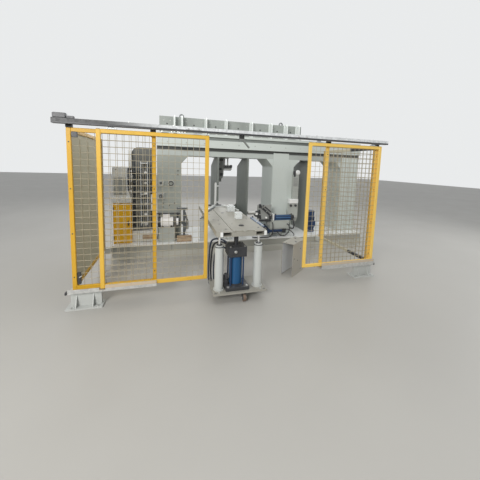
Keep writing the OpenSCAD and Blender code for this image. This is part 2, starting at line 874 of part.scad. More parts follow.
// The base plate stands on two rear feet and on the caster in front
module base_plate() {
  x0 = table_x - base_w / 2;
  foot_w = 70;
  for (x = [x0 + 60, x0 + base_w - 60 - foot_w])
    color([0.76, 0.75, 0.71])
      block(x, x + foot_w, base_front + base_d - 170, base_front + base_d - 60, 0, base_z - base_t);
  color([0.76, 0.75, 0.71]) difference() {
    block(x0, x0 + base_w, base_front, base_front + base_d, base_z - base_t, base_z);
    for (x = [x0 + 30, x0 + base_w - 30], y = [base_front + 30, base_front + base_d - 30])
      translate([x, y, base_z - base_t - sliver]) cylinder(d = 16, h = base_t + 2 * sliver);
  }
}

module lift_barrel() {
  clear = 4;
  color([0.10, 0.32, 0.56]) difference() {
    union() {
      block(cyl_x - cyl_foot_w / 2, cyl_x + cyl_foot_w / 2, cyl_y - cyl_foot_w / 2, cyl_y + cyl_foot_w / 2,
            base_z, cyl_z);
      translate([cyl_x, cyl_y, cyl_z]) cylinder(d = barrel_d, h = barrel_h);
      block(cyl_x - head_w / 2, cyl_x + head_w / 2, cyl_y - head_w / 2, cyl_y + head_w / 2,
            head_z, head_z + head_h);
    }
    translate([cyl_x, cyl_y, cyl_z]) cylinder(d = piston_rod_d + 2 * clear, h = barrel_h);
    translate([cyl_x, cyl_y, head_z - sliver])
      cylinder(d = piston_rod_d + 2 * run_gap, h = head_h + 2 * sliver);
  }
}

module lift_rod() {
  eye_w = 90;
  color([0.20, 0.20, 0.21]) {
    translate([cyl_x, cyl_y, cyl_z + lift_down + 20])
      cylinder(d = piston_rod_d, h = rod_top - 60 - cyl_z - lift_down - 20);
    block(cyl_x - eye_w / 2, cyl_x + eye_w / 2, cyl_y - eye_w / 2, cyl_y + eye_w / 2, rod_top - 60, rod_top);
  }
}

caster_x = table_x + 50;
caster_y = base_front + 45;
wheel_y = caster_y - trail;

module caster_fork() {
  plate_t = 8;
  cheek_t = 5;
  top = base_z - base_t;
  gap = wheel_w / 2 + 5;
  color([0.13, 0.13, 0.14]) difference() {
    union() {
      translate([caster_x, caster_y, top - plate_t - seat_gap]) cylinder(d = 70, h = plate_t);
      for (side = [-1, 1])
        yz_plate([[caster_y + 30, top - plate_t - seat_gap], [caster_y - 30, top - plate_t - seat_gap],
                  [wheel_y - 10, wheel_d / 2 - 12], [wheel_y + 10, wheel_d / 2 - 12]],
                 caster_x + side * (gap + cheek_t / 2) - cheek_t / 2, caster_x + side * (gap + cheek_t / 2) + cheek_t / 2);
    }
    translate([caster_x - 40, wheel_y, wheel_d / 2]) rotate([0, 90, 0]) cylinder(d = 12 + 2 * run_gap, h = 80);
  }
}

module caster_wheel() {
  axle_l = wheel_w + 20;
  color([0.28, 0.23, 0.20]) translate([caster_x, wheel_y, wheel_d / 2]) rotate([0, 90, 0]) {
    cylinder(d = wheel_d, h = wheel_w, center = true);
    cylinder(d = 12, h = axle_l, center = true);
  }
}

module floor_cover() {
  t = cover_t;
  color([0.66, 0.66, 0.64]) translate([cover_x, cover_back - door_y, 0]) rotate([0, 0, cover_turn])
    difference() {
      cube([cover_w, cover_d, cover_h]);
      translate([-sliver, t, -sliver]) cube([cover_w - t + sliver, cover_d - 2 * t, cover_h - t + sliver]);
    }
}

bed();
bed_top_plate();
column(left_column_x, left_column_w, false, true);  // left_column
column(middle_column_x, middle_column_w, true, true);  // middle_column
column(right_column_x, right_column_w, true, false);  // right_column
top_beam();
girder_box();
girder_ribs();
lifting_eyes();
web_plates();
column_bosses();
control_cabinet();
drive_column();
drive_hood();
valve_stack();
drive_motor();
motor_plinth();
clamp_link();
guide_head();
cross_cylinder();
pull_cylinder();
hydraulic_blocks();
gripper();
side_motor();
fixed_panel(-guard_end);  // left_fixed_panel
fixed_panel(post_x);  // right_fixed_panel
left_side(-guard_end + tube_d / 2);  // left_side_panel
right_side(guard_end - tube_d / 2);  // right_side_panel
door(left_door_x, left_drop);  // left_door
door(right_door_x, 0);  // right_door
hangers(left_door_x);  // left_hangers
hangers(right_door_x);  // right_hangers
door_track();
track_brackets();
sills();
guard_feet();
table_top();
guide_rods();
guide_sleeves();
base_plate();
lift_barrel();
lift_rod();
caster_fork();
caster_wheel();
floor_cover();
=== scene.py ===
"""Looks of a rolling mill stand: finishes, fastenings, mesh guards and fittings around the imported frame."""

import math
import random
from itertools import product

import bmesh
import bpy
from mathutils import Matrix, Vector


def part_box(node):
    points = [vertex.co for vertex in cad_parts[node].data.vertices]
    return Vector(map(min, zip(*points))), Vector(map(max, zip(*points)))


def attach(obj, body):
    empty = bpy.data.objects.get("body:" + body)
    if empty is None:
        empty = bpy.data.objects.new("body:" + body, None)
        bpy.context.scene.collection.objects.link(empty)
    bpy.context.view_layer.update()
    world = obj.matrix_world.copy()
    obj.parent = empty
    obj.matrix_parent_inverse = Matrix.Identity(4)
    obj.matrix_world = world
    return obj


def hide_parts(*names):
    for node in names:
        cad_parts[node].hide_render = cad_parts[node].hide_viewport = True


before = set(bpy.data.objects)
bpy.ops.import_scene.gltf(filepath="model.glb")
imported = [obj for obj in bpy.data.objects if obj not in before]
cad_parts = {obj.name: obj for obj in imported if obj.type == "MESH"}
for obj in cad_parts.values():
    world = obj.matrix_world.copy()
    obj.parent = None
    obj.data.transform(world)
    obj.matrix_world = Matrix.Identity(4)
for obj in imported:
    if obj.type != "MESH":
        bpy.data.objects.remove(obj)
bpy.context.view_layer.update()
rng = random.Random(7)

# Directions of the frame: X to the right, Y to the back, Z up
X, Y, Z = Vector((1, 0, 0)), Vector((0, 1, 0)), Vector((0, 0, 1))


# Shader maths

class Value:
    """A number that varies over a surface. Arithmetic on it adds Math nodes."""

    def __init__(self, finish, socket):
        self.finish = finish
        self.socket = socket

    def maths(self, operation, *values):
        node = self.finish.node("ShaderNodeMath", {"operation": operation}, dict(enumerate(values)))
        return Value(self.finish, node.outputs[0])

    def __add__(self, other):
        return self.maths("ADD", self, other)

    def __sub__(self, other):
        return self.maths("SUBTRACT", self, other)

    def __mul__(self, other):
        return self.maths("MULTIPLY", self, other)

    def __rsub__(self, other):
        return self.maths("SUBTRACT", other, self)

    __radd__ = __add__
    __rmul__ = __mul__

    def size(self):
        return self.maths("ABSOLUTE", self)

    def over(self, edge, width):
        """0 under edge, 1 over edge plus width, with a soft step between."""
        node = self.finish.node("ShaderNodeMapRange", {"interpolation_type": "SMOOTHSTEP"},
                                {0: self, 1: edge, 2: edge + width, 3: 0.0, 4: 1.0})
        return Value(self.finish, node.outputs[0])


class Finish:
    """One procedural material, built on a Principled shader."""

    def __init__(self, name, metallic=0.0):
        self.material = bpy.data.materials.new(name)
        self.material.use_nodes = True
        self.nodes = self.material.node_tree.nodes
        self.links = self.material.node_tree.links
        self.shader = next(n for n in self.nodes if n.type == "BSDF_PRINCIPLED")
        self.shader.inputs["Metallic"].default_value = metallic
        self.place = self.node("ShaderNodeTexCoord").outputs["Object"]

    def node(self, kind, settings=(), values=()):
        node = self.nodes.new(kind)
        for key, setting in dict(settings).items():
            setattr(node, key, setting)
        for key, value in dict(values).items():
            if isinstance(value, Value):
                value = value.socket
            if isinstance(value, bpy.types.NodeSocket):
                self.links.new(value, node.inputs[key])
            else:
                node.inputs[key].default_value = value
        return node

    def stretched(self, scale):
        return self.node("ShaderNodeMapping", {}, {"Vector": self.place, "Scale": scale}).outputs[0]

    def noise(self, scale, detail=3.0, where=None):
        node = self.node("ShaderNodeTexNoise", {},
                         {"Vector": where or self.place, "Scale": scale, "Detail": detail})
        return Value(self, node.outputs[0])

    def cells(self, scale):
        node = self.node("ShaderNodeTexVoronoi", {}, {"Vector": self.place, "Scale": scale})
        grey = self.node("ShaderNodeSeparateColor", {}, {0: node.outputs["Color"]})
        return Value(self, grey.outputs[0])

    def axis(self, index):
        split = self.node("ShaderNodeSeparateXYZ", {}, {0: self.place})
        return Value(self, split.outputs[index])

    def height(self):
        return self.axis(2)

    def facing_up(self):
        """1 on faces that look up, where dust settles."""
        normal = self.node("ShaderNodeNewGeometry").outputs["Normal"]
        split = self.node("ShaderNodeSeparateXYZ", {}, {0: normal})
        return Value(self, split.outputs[2]).over(0.6, 0.3)

    def blend(self, mask, first, second):
        node = self.node("ShaderNodeMix", {"data_type": "RGBA"}, {0: mask})
        for place, colour in ((6, first), (7, second)):
            if isinstance(colour, bpy.types.NodeSocket):
                self.links.new(colour, node.inputs[place])
            else:
                node.inputs[place].default_value = (*colour, 1.0)
        return node.outputs[2]

    def done(self, base, roughness, bump=None, bump_depth=0.001):
        values = {"Base Color": base, "Roughness": roughness}
        for name, value in values.items():
            socket = self.shader.inputs[name]
            if isinstance(value, Value):
                value = value.socket
            if isinstance(value, bpy.types.NodeSocket):
                self.links.new(value, socket)
            elif name == "Base Color":
                socket.default_value = (*value, 1.0)
            else:
                socket.default_value = value
        if bump is not None:
            node = self.node("ShaderNodeBump", {}, {"Height": bump, "Distance": bump_depth, "Strength": 1.0})
            self.links.new(node.outputs[0], self.shader.inputs["Normal"])
        return self.material


def tone(colour, factor):
    return tuple(min(1.0, channel * factor) for channel in colour)


def enamel(name, colour, roughness=0.42, grime=0.5, coat=0.0, shade=None, gloss=0.5):
    """Sprayed machine paint: faint mottling, dust on top faces, grime near the floor and in patches.
    shade is a function that gives a mask of a darker place and how dark it is."""
    f = Finish(name)
    f.shader.inputs["Specular IOR Level"].default_value = gloss
    mottled = f.blend(f.noise(1.3, 4.0), tone(colour, 0.93), tone(colour, 1.06))
    streaks = f.noise(3.0, 6.0, f.stretched((1.0, 1.0, 0.18))).over(0.56, 0.22) * (0.35 * grime)
    worn = f.blend(streaks, mottled, tone(colour, 0.62))
    specks = f.noise(38.0, 2.0).over(0.68, 0.06) * (0.5 * grime)
    specked = f.blend(specks, worn, tone(colour, 0.45))
    low = (1 - f.height().over(0.02, 0.22)) * f.noise(5.0, 4.0) * (0.75 * grime)
    soiled = f.blend(low, specked, (0.30, 0.28, 0.25))
    dusty = f.blend(f.facing_up() * f.noise(6.0, 5.0) * 0.35, soiled, tone(colour, 1.18))
    if shade:
        mask, dark = shade(f)
        dusty = f.blend(mask, dusty, tone(colour, dark))
    f.shader.inputs["Coat Weight"].default_value = coat
    return f.done(dusty, f.noise(9.0) * 0.22 + (roughness - 0.08), f.noise(260.0, 1.0), 0.0004)


def powder_coat(name, colour):
    """Yellow powder coat: even gloss, slight orange peel, and chips down to grey primer where it wears."""
    f = Finish(name)
    f.shader.inputs["Specular IOR Level"].default_value = 0.35
    even = f.blend(f.noise(2.2, 3.0), tone(colour, 0.92), tone(colour, 1.05))
    chips = f.noise(55.0, 4.0).over(0.70, 0.03) * f.noise(1.7, 2.0).over(0.48, 0.2)
    chipped = f.blend(chips, even, (0.36, 0.33, 0.27))
    smudges = f.noise(7.0, 5.0, f.stretched((1.0, 1.0, 0.3))).over(0.6, 0.2) * 0.30
    return f.done(f.blend(smudges, chipped, tone(colour, 0.66)), f.noise(14.0) * 0.2 + 0.27,
                  f.noise(420.0, 1.0), 0.0003)


def zinc(name, colour, metallic=0.75, roughness=0.42, dull=None):
    """Galvanised steel with its crystal pattern and darker streaks. dull gives a place that is made much
    darker.
    """
    f = Finish(name, metallic)
    crystals = f.blend(f.cells(42.0), tone(colour, 0.84), tone(colour, 1.10))
    streaked = f.blend(f.noise(4.0, 6.0, f.stretched((0.4, 1.0, 1.0))).over(0.5, 0.3) * 0.4,
                       crystals, tone(colour, 0.72))
    if dull:
        streaked = f.blend(dull(f), streaked, tone(colour, 0.08))
    return f.done(streaked, f.cells(42.0) * 0.14 + (roughness - 0.05))


def rolled_steel(name, colour, roughness=0.34, metallic=0.9, grain=(1.0, 30.0, 30.0)):
    """Bare or brushed steel with a fine grain and handling marks."""
    f = Finish(name, metallic)
    lines = f.noise(9.0, 3.0, f.stretched(grain))
    base = f.blend(lines, tone(colour, 0.86), tone(colour, 1.08))
    marked = f.blend(f.noise(5.0, 5.0).over(0.55, 0.25) * 0.45, base, tone(colour, 0.62))
    return f.done(marked, lines * 0.16 + (roughness - 0.06), lines, 0.0002)


def oily_iron(name, colour, roughness=0.5):
    """Dark castings with an uneven oil film and paler rubbed places."""
    f = Finish(name, 0.25)
    film = f.blend(f.noise(6.0, 5.0), tone(colour, 0.6), tone(colour, 1.35))
    rubbed = f.blend(f.noise(24.0, 4.0).over(0.63, 0.08) * 0.6, film, (0.45, 0.46, 0.45))
    return f.done(rubbed, f.noise(8.0, 4.0) * 0.35 + (roughness - 0.2), f.noise(90.0, 3.0), 0.0006)


def satin_black(name, colour=(0.028, 0.029, 0.032), roughness=0.38):
    f = Finish(name)
    shade = f.blend(f.noise(12.0, 4.0), tone(colour, 0.75), tone(colour, 1.7))
    dusty = f.blend(f.facing_up() * f.noise(20.0, 4.0) * 0.30, shade, (0.20, 0.20, 0.19))
    return f.done(dusty, f.noise(18.0) * 0.22 + (roughness - 0.1), f.noise(220.0, 2.0), 0.0003)


def timber(name):
    f = Finish(name)
    rings = f.node("ShaderNodeTexWave", {"wave_type": "RINGS", "rings_direction": "X"},
                   {"Vector": f.stretched((0.7, 1.0, 1.0)), "Scale": 9.0, "Distortion": 5.0, "Detail": 3.0})
    grain = Value(f, rings.outputs[1])
    wood = f.blend(grain, (0.30, 0.20, 0.12), (0.47, 0.35, 0.23))
    stained = f.blend(f.noise(7.0, 4.0).over(0.5, 0.3) * 0.5, wood, (0.16, 0.13, 0.11))
    return f.done(stained, 0.8, grain, 0.0008)


def milky_plastic(name):
    f = Finish(name)
    f.shader.inputs["Transmission Weight"].default_value = 0.35
    f.shader.inputs["IOR"].default_value = 1.45
    cloudy = f.blend(f.noise(16.0, 4.0), (0.80, 0.84, 0.84), (0.93, 0.95, 0.94))
    return f.done(cloudy, f.noise(30.0) * 0.2 + 0.2)


def paper(name):
    f = Finish(name)
    sheet = f.blend(f.noise(20.0, 3.0), (0.80, 0.80, 0.77), (0.90, 0.90, 0.88))
    return f.done(sheet, 0.75, f.noise(70.0, 3.0), 0.0006)


def beam_recess(f):
    """Painted shade on the beam: on the web behind its ledges, a painted shadow band under the lower ledge,
    and more shade towards the right end.
    """
    # Painted shade: the web plane behind the ledges is darkened, the band under the lower ledge is a painted
    # shadow, the recess between the upper ledges is darker, and the shade grows towards the right end.
    web = 1 - f.axis(1).size().over(0.304, 0.012)
    shade_under_ledge = web * f.height().over(1.885, 0.020) * (1 - f.height().over(1.966, 0.006))
    recess_shade = web * f.height().over(2.085, 0.010)
    right = f.axis(0).over(0.9, 0.9) * 0.18 * (1 - shade_under_ledge)
    return web * 0.22 + shade_under_ledge * 0.75 + recess_shade * 0.40 + right, 0.06


def above_catch(f):
    """The black head of the catch over its grey arm."""
    return f.height().over(1.985, 0.004), 0.08


def bed_face(f):
    """The upright faces of the bed between its foot and its top plate."""
    return f.height().over(0.119, 0.004) * 0.9, 0.66


def ledge_shadow(f):
    """Painted shade in uneven patches over the girder's panels."""
    return f.noise(2.4, 5.0, f.stretched((1.0, 1.0, 0.4))).over(0.42, 0.3) * 0.6, 0.66


def track_end(f):
    """Darker towards the left end of the track."""
    return 1 - f.axis(0).over(-1.70, 0.9)


frame_paint = enamel("frame_paint", (0.40, 0.432, 0.405))
beam_paint = enamel("beam_paint", (0.56, 0.605, 0.575), shade=beam_recess)
column_paint = enamel("column_paint", (0.545, 0.59, 0.56))
left_paint = enamel("left_column_paint", (0.33, 0.352, 0.32))
boss_paint = enamel("boss_grey", (0.40, 0.42, 0.40), 0.4, 0.8)
catch_paint = enamel("catch_paint", (0.17, 0.18, 0.17), 0.5, 0.5, shade=above_catch)
bed_paint = enamel("bed_paint", (0.50, 0.50, 0.45), 0.45, 0.7, shade=bed_face)
# A dark copy of the frame paint: painted shade on the web plates, and the dark seams on the bed.
web_shade_and_seam_paint = enamel("web_paint", (0.185, 0.202, 0.186), 0.5, 0.8)
girder_paint = enamel("girder_paint", (0.33, 0.357, 0.335), shade=ledge_shadow)
rib_paint = enamel("rib_paint", (0.80, 0.84, 0.82), 0.4, 0.3)
plate_paint = enamel("plate_paint", (0.74, 0.75, 0.735), 0.4, 0.5)
block_paint = enamel("block_paint", (0.40, 0.42, 0.39), 0.42, 0.8)
table_paint = enamel("table_paint", (0.31, 0.30, 0.26), 0.4, 0.75, gloss=0.35)
sleeve_paint = enamel("sleeve_paint", (0.50, 0.52, 0.50), 0.38, 0.6)
motor_paint = enamel("motor_paint", (0.88, 0.87, 0.85), 0.35, 0.4)
cabinet_paint = enamel("cabinet_yellow", (0.95, 0.53, 0.030), 0.5, 0.25, gloss=0.2)
blue_paint = enamel("hydraulic_blue", (0.012, 0.080, 0.195), 0.32, 0.5, 0.15, gloss=0.3)
pull_paint = enamel("cylinder_blue", (0.040, 0.115, 0.245), 0.3, 0.4, 0.2, gloss=0.4)
navy_paint = enamel("navy_blue", (0.010, 0.032, 0.090), 0.32, 0.5, 0.2, gloss=0.4)
shield_paint = enamel("shield_paint", (0.50, 0.47, 0.345), 0.55, 0.4, gloss=0.3)
jaw_paint = enamel("jaw_grey", (0.30, 0.31, 0.295), 0.45, 0.8)
screen_paint = enamel("screen_grey", (0.33, 0.345, 0.335), 0.3, 0.3)
tool_paint = enamel("tool_grey", (0.27, 0.28, 0.27), 0.42, 0.9)
guard_paint = powder_coat("guard_yellow", (0.69, 0.425, 0.060))
post_paint = powder_coat("post_yellow", (0.60, 0.345, 0.028))
pale_door_paint = powder_coat("pale_door_yellow", (0.84, 0.56, 0.125))
pale_post_paint = powder_coat("pale_post_yellow", (0.83, 0.54, 0.115))
track_zinc = zinc("galvanised", (0.66, 0.68, 0.69), 0.15, 0.5, track_end)
fitting_zinc = zinc("fitting_zinc", (0.55, 0.58, 0.60), 0.6, 0.45)
sill_zinc = zinc("sill_zinc", (0.52, 0.52, 0.50), 0.4, 0.5)
rail_paint = enamel("rail_beige", (0.50, 0.46, 0.34), 0.45, 0.4)
wire_zinc = zinc("wire_zinc", (0.38, 0.335, 0.24), 0.2, 0.5)
hood_zinc = zinc("hood_zinc", (0.105, 0.108, 0.10), 0.4, 0.45)
sheet_steel = rolled_steel("sheet_steel", (0.50, 0.48, 0.43), 0.42, 0.45)
bolt_steel = rolled_steel("bolt_steel", (0.50, 0.50, 0.48), 0.36, 0.85, (20.0, 20.0, 20.0))
rod_chrome = rolled_steel("rod_chrome", (0.86, 0.87, 0.88), 0.14, 1.0, (30.0, 30.0, 1.0))
dark_iron = oily_iron("dark_iron", (0.115, 0.125, 0.13))
eye_iron = oily_iron("eye_iron", (0.22, 0.23, 0.23))
black_paint = satin_black("black_steel")
black_rubber = satin_black("black_rubber", (0.022, 0.022, 0.024), 0.55)
blue_rubber = satin_black("blue_rubber", (0.022, 0.030, 0.050), 0.5)
tread_rubber = satin_black("wheel_tread", (0.13, 0.09, 0.065), 0.7)
wood = timber("plinth_wood")
clear_block = milky_plastic("milky_plastic")
white_paper = paper("paper")
# A pale paint that stands for light falling on the cover's inner back wall: painted light.
lit_wall_paint = enamel("lit_wall_paint", (0.86, 0.88, 0.90), 0.4, 0.2)
# A tan paint for strips along the upper part of the sill flanges.
tan_flange_strip = enamel("tan_flange_strip", (0.52, 0.42, 0.30), 0.5, 0.6)

node_finish = {
    "bed": bed_paint, "bed_top_plate": plate_paint, "left_column": left_paint,
    "middle_column": column_paint, "right_column": column_paint, "top_beam": beam_paint,
    "girder_box": girder_paint, "girder_ribs": rib_paint, "lifting_eyes": eye_iron,
    "web_plates": web_shade_and_seam_paint, "column_bosses": boss_paint, "control_cabinet": cabinet_paint,
    "drive_column": dark_iron, "drive_hood": hood_zinc, "valve_stack": dark_iron,
    "drive_motor": motor_paint, "motor_plinth": block_paint, "clamp_link": dark_iron,
    "guide_head": tool_paint, "cross_cylinder": navy_paint, "pull_cylinder": pull_paint,
    "hydraulic_blocks": block_paint, "gripper": jaw_paint, "side_motor": navy_paint,
    "left_fixed_panel": post_paint, "right_fixed_panel": pale_post_paint,
    "left_side_panel": post_paint, "right_side_panel": post_paint,
    "left_door": guard_paint, "right_door": pale_door_paint,
    "left_hangers": fitting_zinc, "right_hangers": fitting_zinc, "door_track": track_zinc,
    "track_brackets": catch_paint, "sills": sill_zinc, "guard_feet": sleeve_paint,
    "table_top": table_paint, "guide_rods": rod_chrome, "guide_sleeves": sleeve_paint,
    "base_plate": table_paint, "lift_barrel": blue_paint, "lift_rod": black_paint,
    "caster_fork": black_paint, "caster_wheel": tread_rubber, "floor_cover": sheet_steel,
}

for name, finish in node_finish.items():
    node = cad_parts[name]
    node.data.materials.clear()
    node.data.materials.append(finish)


# Mesh making

def side_vectors(direction):
    """Two unit vectors square to a direction and to each other."""
    guide = Z if abs(direction.normalized().z) < 0.9 else X
    first = guide.cross(direction).normalized()
    return first, direction.normalized().cross(first)


def circle(centre, first, second, radius, sides, turn=0.0):
    angles = [turn + 2 * math.pi * i / sides for i in range(sides)]
    return [centre + first * (radius * math.cos(a)) + second * (radius * math.sin(a)) for a in angles]


class Form:
    """Closed shells gathered into one piece. self.paint is the finish that the next shells get."""

    def __init__(self):
        self.mesh = bmesh.new()
        self.paint = 0

    def skin(self, rings):
        """Joins rings of equally many points, and closes both ends."""
        rows = [[self.mesh.verts.new(point) for point in ring] for ring in rings]
        faces = [rows[0], rows[-1]]
        count = len(rows[0])
        for low, high in zip(rows, rows[1:]):
            faces += [[low[i], low[(i + 1) % count], high[(i + 1) % count], high[i]] for i in range(count)]
        for loop in faces:
            self.mesh.faces.new(loop).material_index = self.paint

    def box(self, low, high, ease=0.003):
        """A block with all its edges eased."""
        low, high = Vector(low), Vector(high)
        ease = min(ease, 0.4 * min(high - low))

        def outline(z, inset):
            x0, y0 = low.x + inset, low.y + inset
            x1, y1 = high.x - inset, high.y - inset
            cut = ease
            return [Vector(p) for p in ((x0 + cut, y0, z), (x1 - cut, y0, z), (x1, y0 + cut, z),
                                        (x1, y1 - cut, z), (x1 - cut, y1, z), (x0 + cut, y1, z),
                                        (x0, y1 - cut, z), (x0, y0 + cut, z))]
        self.skin([outline(low.z, ease), outline(low.z + ease, 0), outline(high.z - ease, 0),
                   outline(high.z, ease)])

    def slab(self, outline, offset):
        """A flat outline of 3-D points pushed along an offset."""
        points = [Vector(p) for p in outline]
        self.skin([points, [p + Vector(offset) for p in points]])

    def lathe(self, start, direction, profile, sides=24, turn=0.0):
        """Rings of (distance along, radius) about an axis."""
        start = Vector(start)
        axis = Vector(direction).normalized()
        first, second = side_vectors(axis)
        self.skin([circle(start + axis * along, first, second, radius, sides, turn)
                   for along, radius in profile])

    def rod(self, start, end, radius, sides=20):
        length = (Vector(end) - Vector(start)).length
        ease = 0.12 * radius
        self.lathe(start, Vector(end) - Vector(start),
                   [(0, radius - ease), (ease, radius), (length - ease, radius), (length, radius - ease)],
                   sides)

    def tube(self, path, radius, sides=8):
        """A round bar along a path, without twist."""
        path = [Vector(p) for p in path]
        first, second = side_vectors(path[1] - path[0])
        rings = []
        for i, point in enumerate(path):
            ahead = path[min(i + 1, len(path) - 1)] - path[max(i - 1, 0)]
            ahead.normalize()
            first = (first - ahead * first.dot(ahead)).normalized()
            second = ahead.cross(first)
            rings.append(circle(point, first, second, radius, sides))
        self.skin(rings)

    def bolt(self, seat, direction, size, washer=True, socket=False):
        """A hexagon bolt head on its washer, or a socket head. size is the thread's diameter."""
        seat = Vector(seat)
        axis = Vector(direction).normalized()
        if washer:
            self.lathe(seat, axis, [(0, size * 1.05), (size * 0.16, size * 1.05)], 16)
            seat = seat + axis * (size * 0.16)
        if socket:
            self.lathe(seat, axis, [(0, size * 0.75), (size * 0.85, size * 0.75), (size, size * 0.66)], 16)
        else:
            self.lathe(seat, axis, [(0, size * 0.86), (size * 0.52, size * 0.86), (size * 0.64, size * 0.72)],
                       6, 0.3)

    def ring(self, centre, direction, outer, inner, thick, sides=32):
        """A flat ring, open through its middle."""
        centre = Vector(centre)
        axis = Vector(direction).normalized()
        first, second = side_vectors(axis)
        loops = [circle(centre + axis * along, first, second, radius, sides)
                 for along, radius in ((0, inner), (0, outer), (thick, outer), (thick, inner))]
        rows = [[self.mesh.verts.new(p) for p in loop] for loop in loops]
        for a, b in zip(rows, rows[1:] + rows[:1]):
            for i in range(sides):
                j = (i + 1) % sides
                self.mesh.faces.new((a[i], a[j], b[j], b[i])).material_index = self.paint

    def piece(self, name, finishes, body="root", instead_of=()):
        bmesh.ops.recalc_face_normals(self.mesh, faces=self.mesh.faces)
        data = bpy.data.meshes.new(name)
        self.mesh.to_mesh(data)
        self.mesh.free()
        for finish in finishes:
            data.materials.append(finish)
        for polygon in data.polygons:
            polygon.use_smooth = True
        data.set_sharp_from_angle(angle=math.radians(32))
        made = bpy.data.objects.new(name, data)
        bpy.context.scene.collection.objects.link(made)
        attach(made, body)
        if instead_of:
            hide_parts(*instead_of)
        return made


def curve_points(points, steps):
    """A smooth path through the points, by Catmull and Rom's rule."""
    points = [Vector(p) for p in points]
    padded = [2 * points[0] - points[1]] + points + [2 * points[-1] - points[-2]]
    path = []
    for a, b, c, d in zip(padded, padded[1:], padded[2:], padded[3:]):
        for i in range(steps):
            t = i / steps
            path.append(0.5 * ((2 * b) + (c - a) * t + (2 * a - 5 * b + 4 * c - d) * t ** 2
                               + (3 * b - a - 3 * c + d) * t ** 3))
    path.append(points[-1])
    return path


def corners(node):
    """Lowest and highest corner of a node's box."""
    return [Vector(point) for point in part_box(node)]


def evenly(start, end, count):
    return [start + (end - start) * i / (count - 1) for i in range(count)]


# Mesh guards: square tubes with eased edges, and welded wire set in them

TUBE = 0.045
WIRE = 0.0025
PITCH = 0.070


def guard_panel(name, node, body, finish, top_finish, low_finish, normal="y", sheet=None):
    """Replaces a flat CAD panel by tubes, and round wires in two layers or a closed sheet."""
    low, high = corners(node)
    along = "x" if normal == "y" else "y"
    a0, a1 = getattr(low, along), getattr(high, along)
    n0, n1 = getattr(low, normal), getattr(high, normal)
    middle = (n0 + n1) / 2

    def at(a, n, z):
        return Vector((a, n, z)) if normal == "y" else Vector((n, a, z))

    frame_form = Form()

    def tube_block(a_low, a_high, z_low, z_high):
        corner, other = at(a_low, n0, z_low), at(a_high, n1, z_high)
        frame_form.box(Vector(map(min, corner, other)), Vector(map(max, corner, other)), 0.004)

    tube_block(a0, a0 + TUBE, low.z, high.z)
    tube_block(a1 - TUBE, a1, low.z, high.z)
    frame_form.paint = 1
    tube_block(a0 + TUBE, a1 - TUBE, high.z - TUBE, high.z)
    frame_form.paint = 2
    tube_block(a0 + TUBE, a1 - TUBE, low.z, low.z + TUBE)
    frame_form.paint = 0
    for a in (a0 + TUBE, a1 - TUBE):
        for z in (low.z + TUBE, high.z - TUBE):
            inward = 1 if a < (a0 + a1) / 2 else -1
            upward = 1 if z < (low.z + high.z) / 2 else -1
            bead = [at(a, middle - 0.010, z), at(a + inward * 0.012, middle - 0.010, z),
                    at(a, middle - 0.010, z + upward * 0.012)]
            frame_form.slab(bead, at(0, 0.020, 0))
    frame_form.piece(name + "_tubes", [finish, top_finish, low_finish], body, (node,))
    if sheet:
        infill = Form()
        corner = at(a0 + TUBE - 0.010, middle - 0.0015, low.z + TUBE - 0.010)
        infill.box(corner, at(a1 - TUBE + 0.010, middle + 0.0015, high.z - TUBE + 0.010), 0.0005)
        for a in evenly(a0 + 0.36, a1 - 0.36, 3):
            for side in (-1, 1):
                fold = at(a - 0.020, middle + side * 0.0015, low.z + 0.10)
                infill.box(fold, at(a + 0.020, middle + side * 0.0060, high.z - 0.10), 0.002)
        infill.piece(name + "_sheet", [sheet], body)
        return

    wires = Form()
    across = max(1, round((a1 - a0 - 2 * TUBE) / PITCH))
    up = max(1, round((high.z - low.z - 2 * TUBE) / PITCH))
    bite = 0.012
    for i in range(1, across):
        a = a0 + TUBE + (a1 - a0 - 2 * TUBE) * i / across
        wires.rod(at(a, middle - WIRE * 0.9, low.z + TUBE - bite),
                  at(a, middle - WIRE * 0.9, high.z - TUBE + bite),
                  WIRE, 6)
    for j in range(1, up):
        z = low.z + TUBE + (high.z - low.z - 2 * TUBE) * j / up
        wires.rod(at(a0 + TUBE - bite, middle + WIRE * 0.9, z), at(a1 - TUBE + bite, middle + WIRE * 0.9, z),
                  WIRE, 6)
    wires.piece(name + "_wires", [wire_zinc], body)


guard_panel("left_fixed", "left_fixed_panel", "root", post_paint, post_paint, post_paint)
guard_panel("right_fixed", "right_fixed_panel", "root", pale_post_paint, pale_post_paint, pale_post_paint)
guard_panel("left_door", "left_door", "left_door_leaf", guard_paint, guard_paint, guard_paint)
guard_panel("right_door", "right_door", "right_door_leaf", pale_door_paint, pale_door_paint, pale_door_paint)
guard_panel("left_side", "left_side_panel", "root", post_paint, post_paint, post_paint, "x", shield_paint)
guard_panel("right_side", "right_side_panel", "root", post_paint, rail_paint, rail_paint, "x")


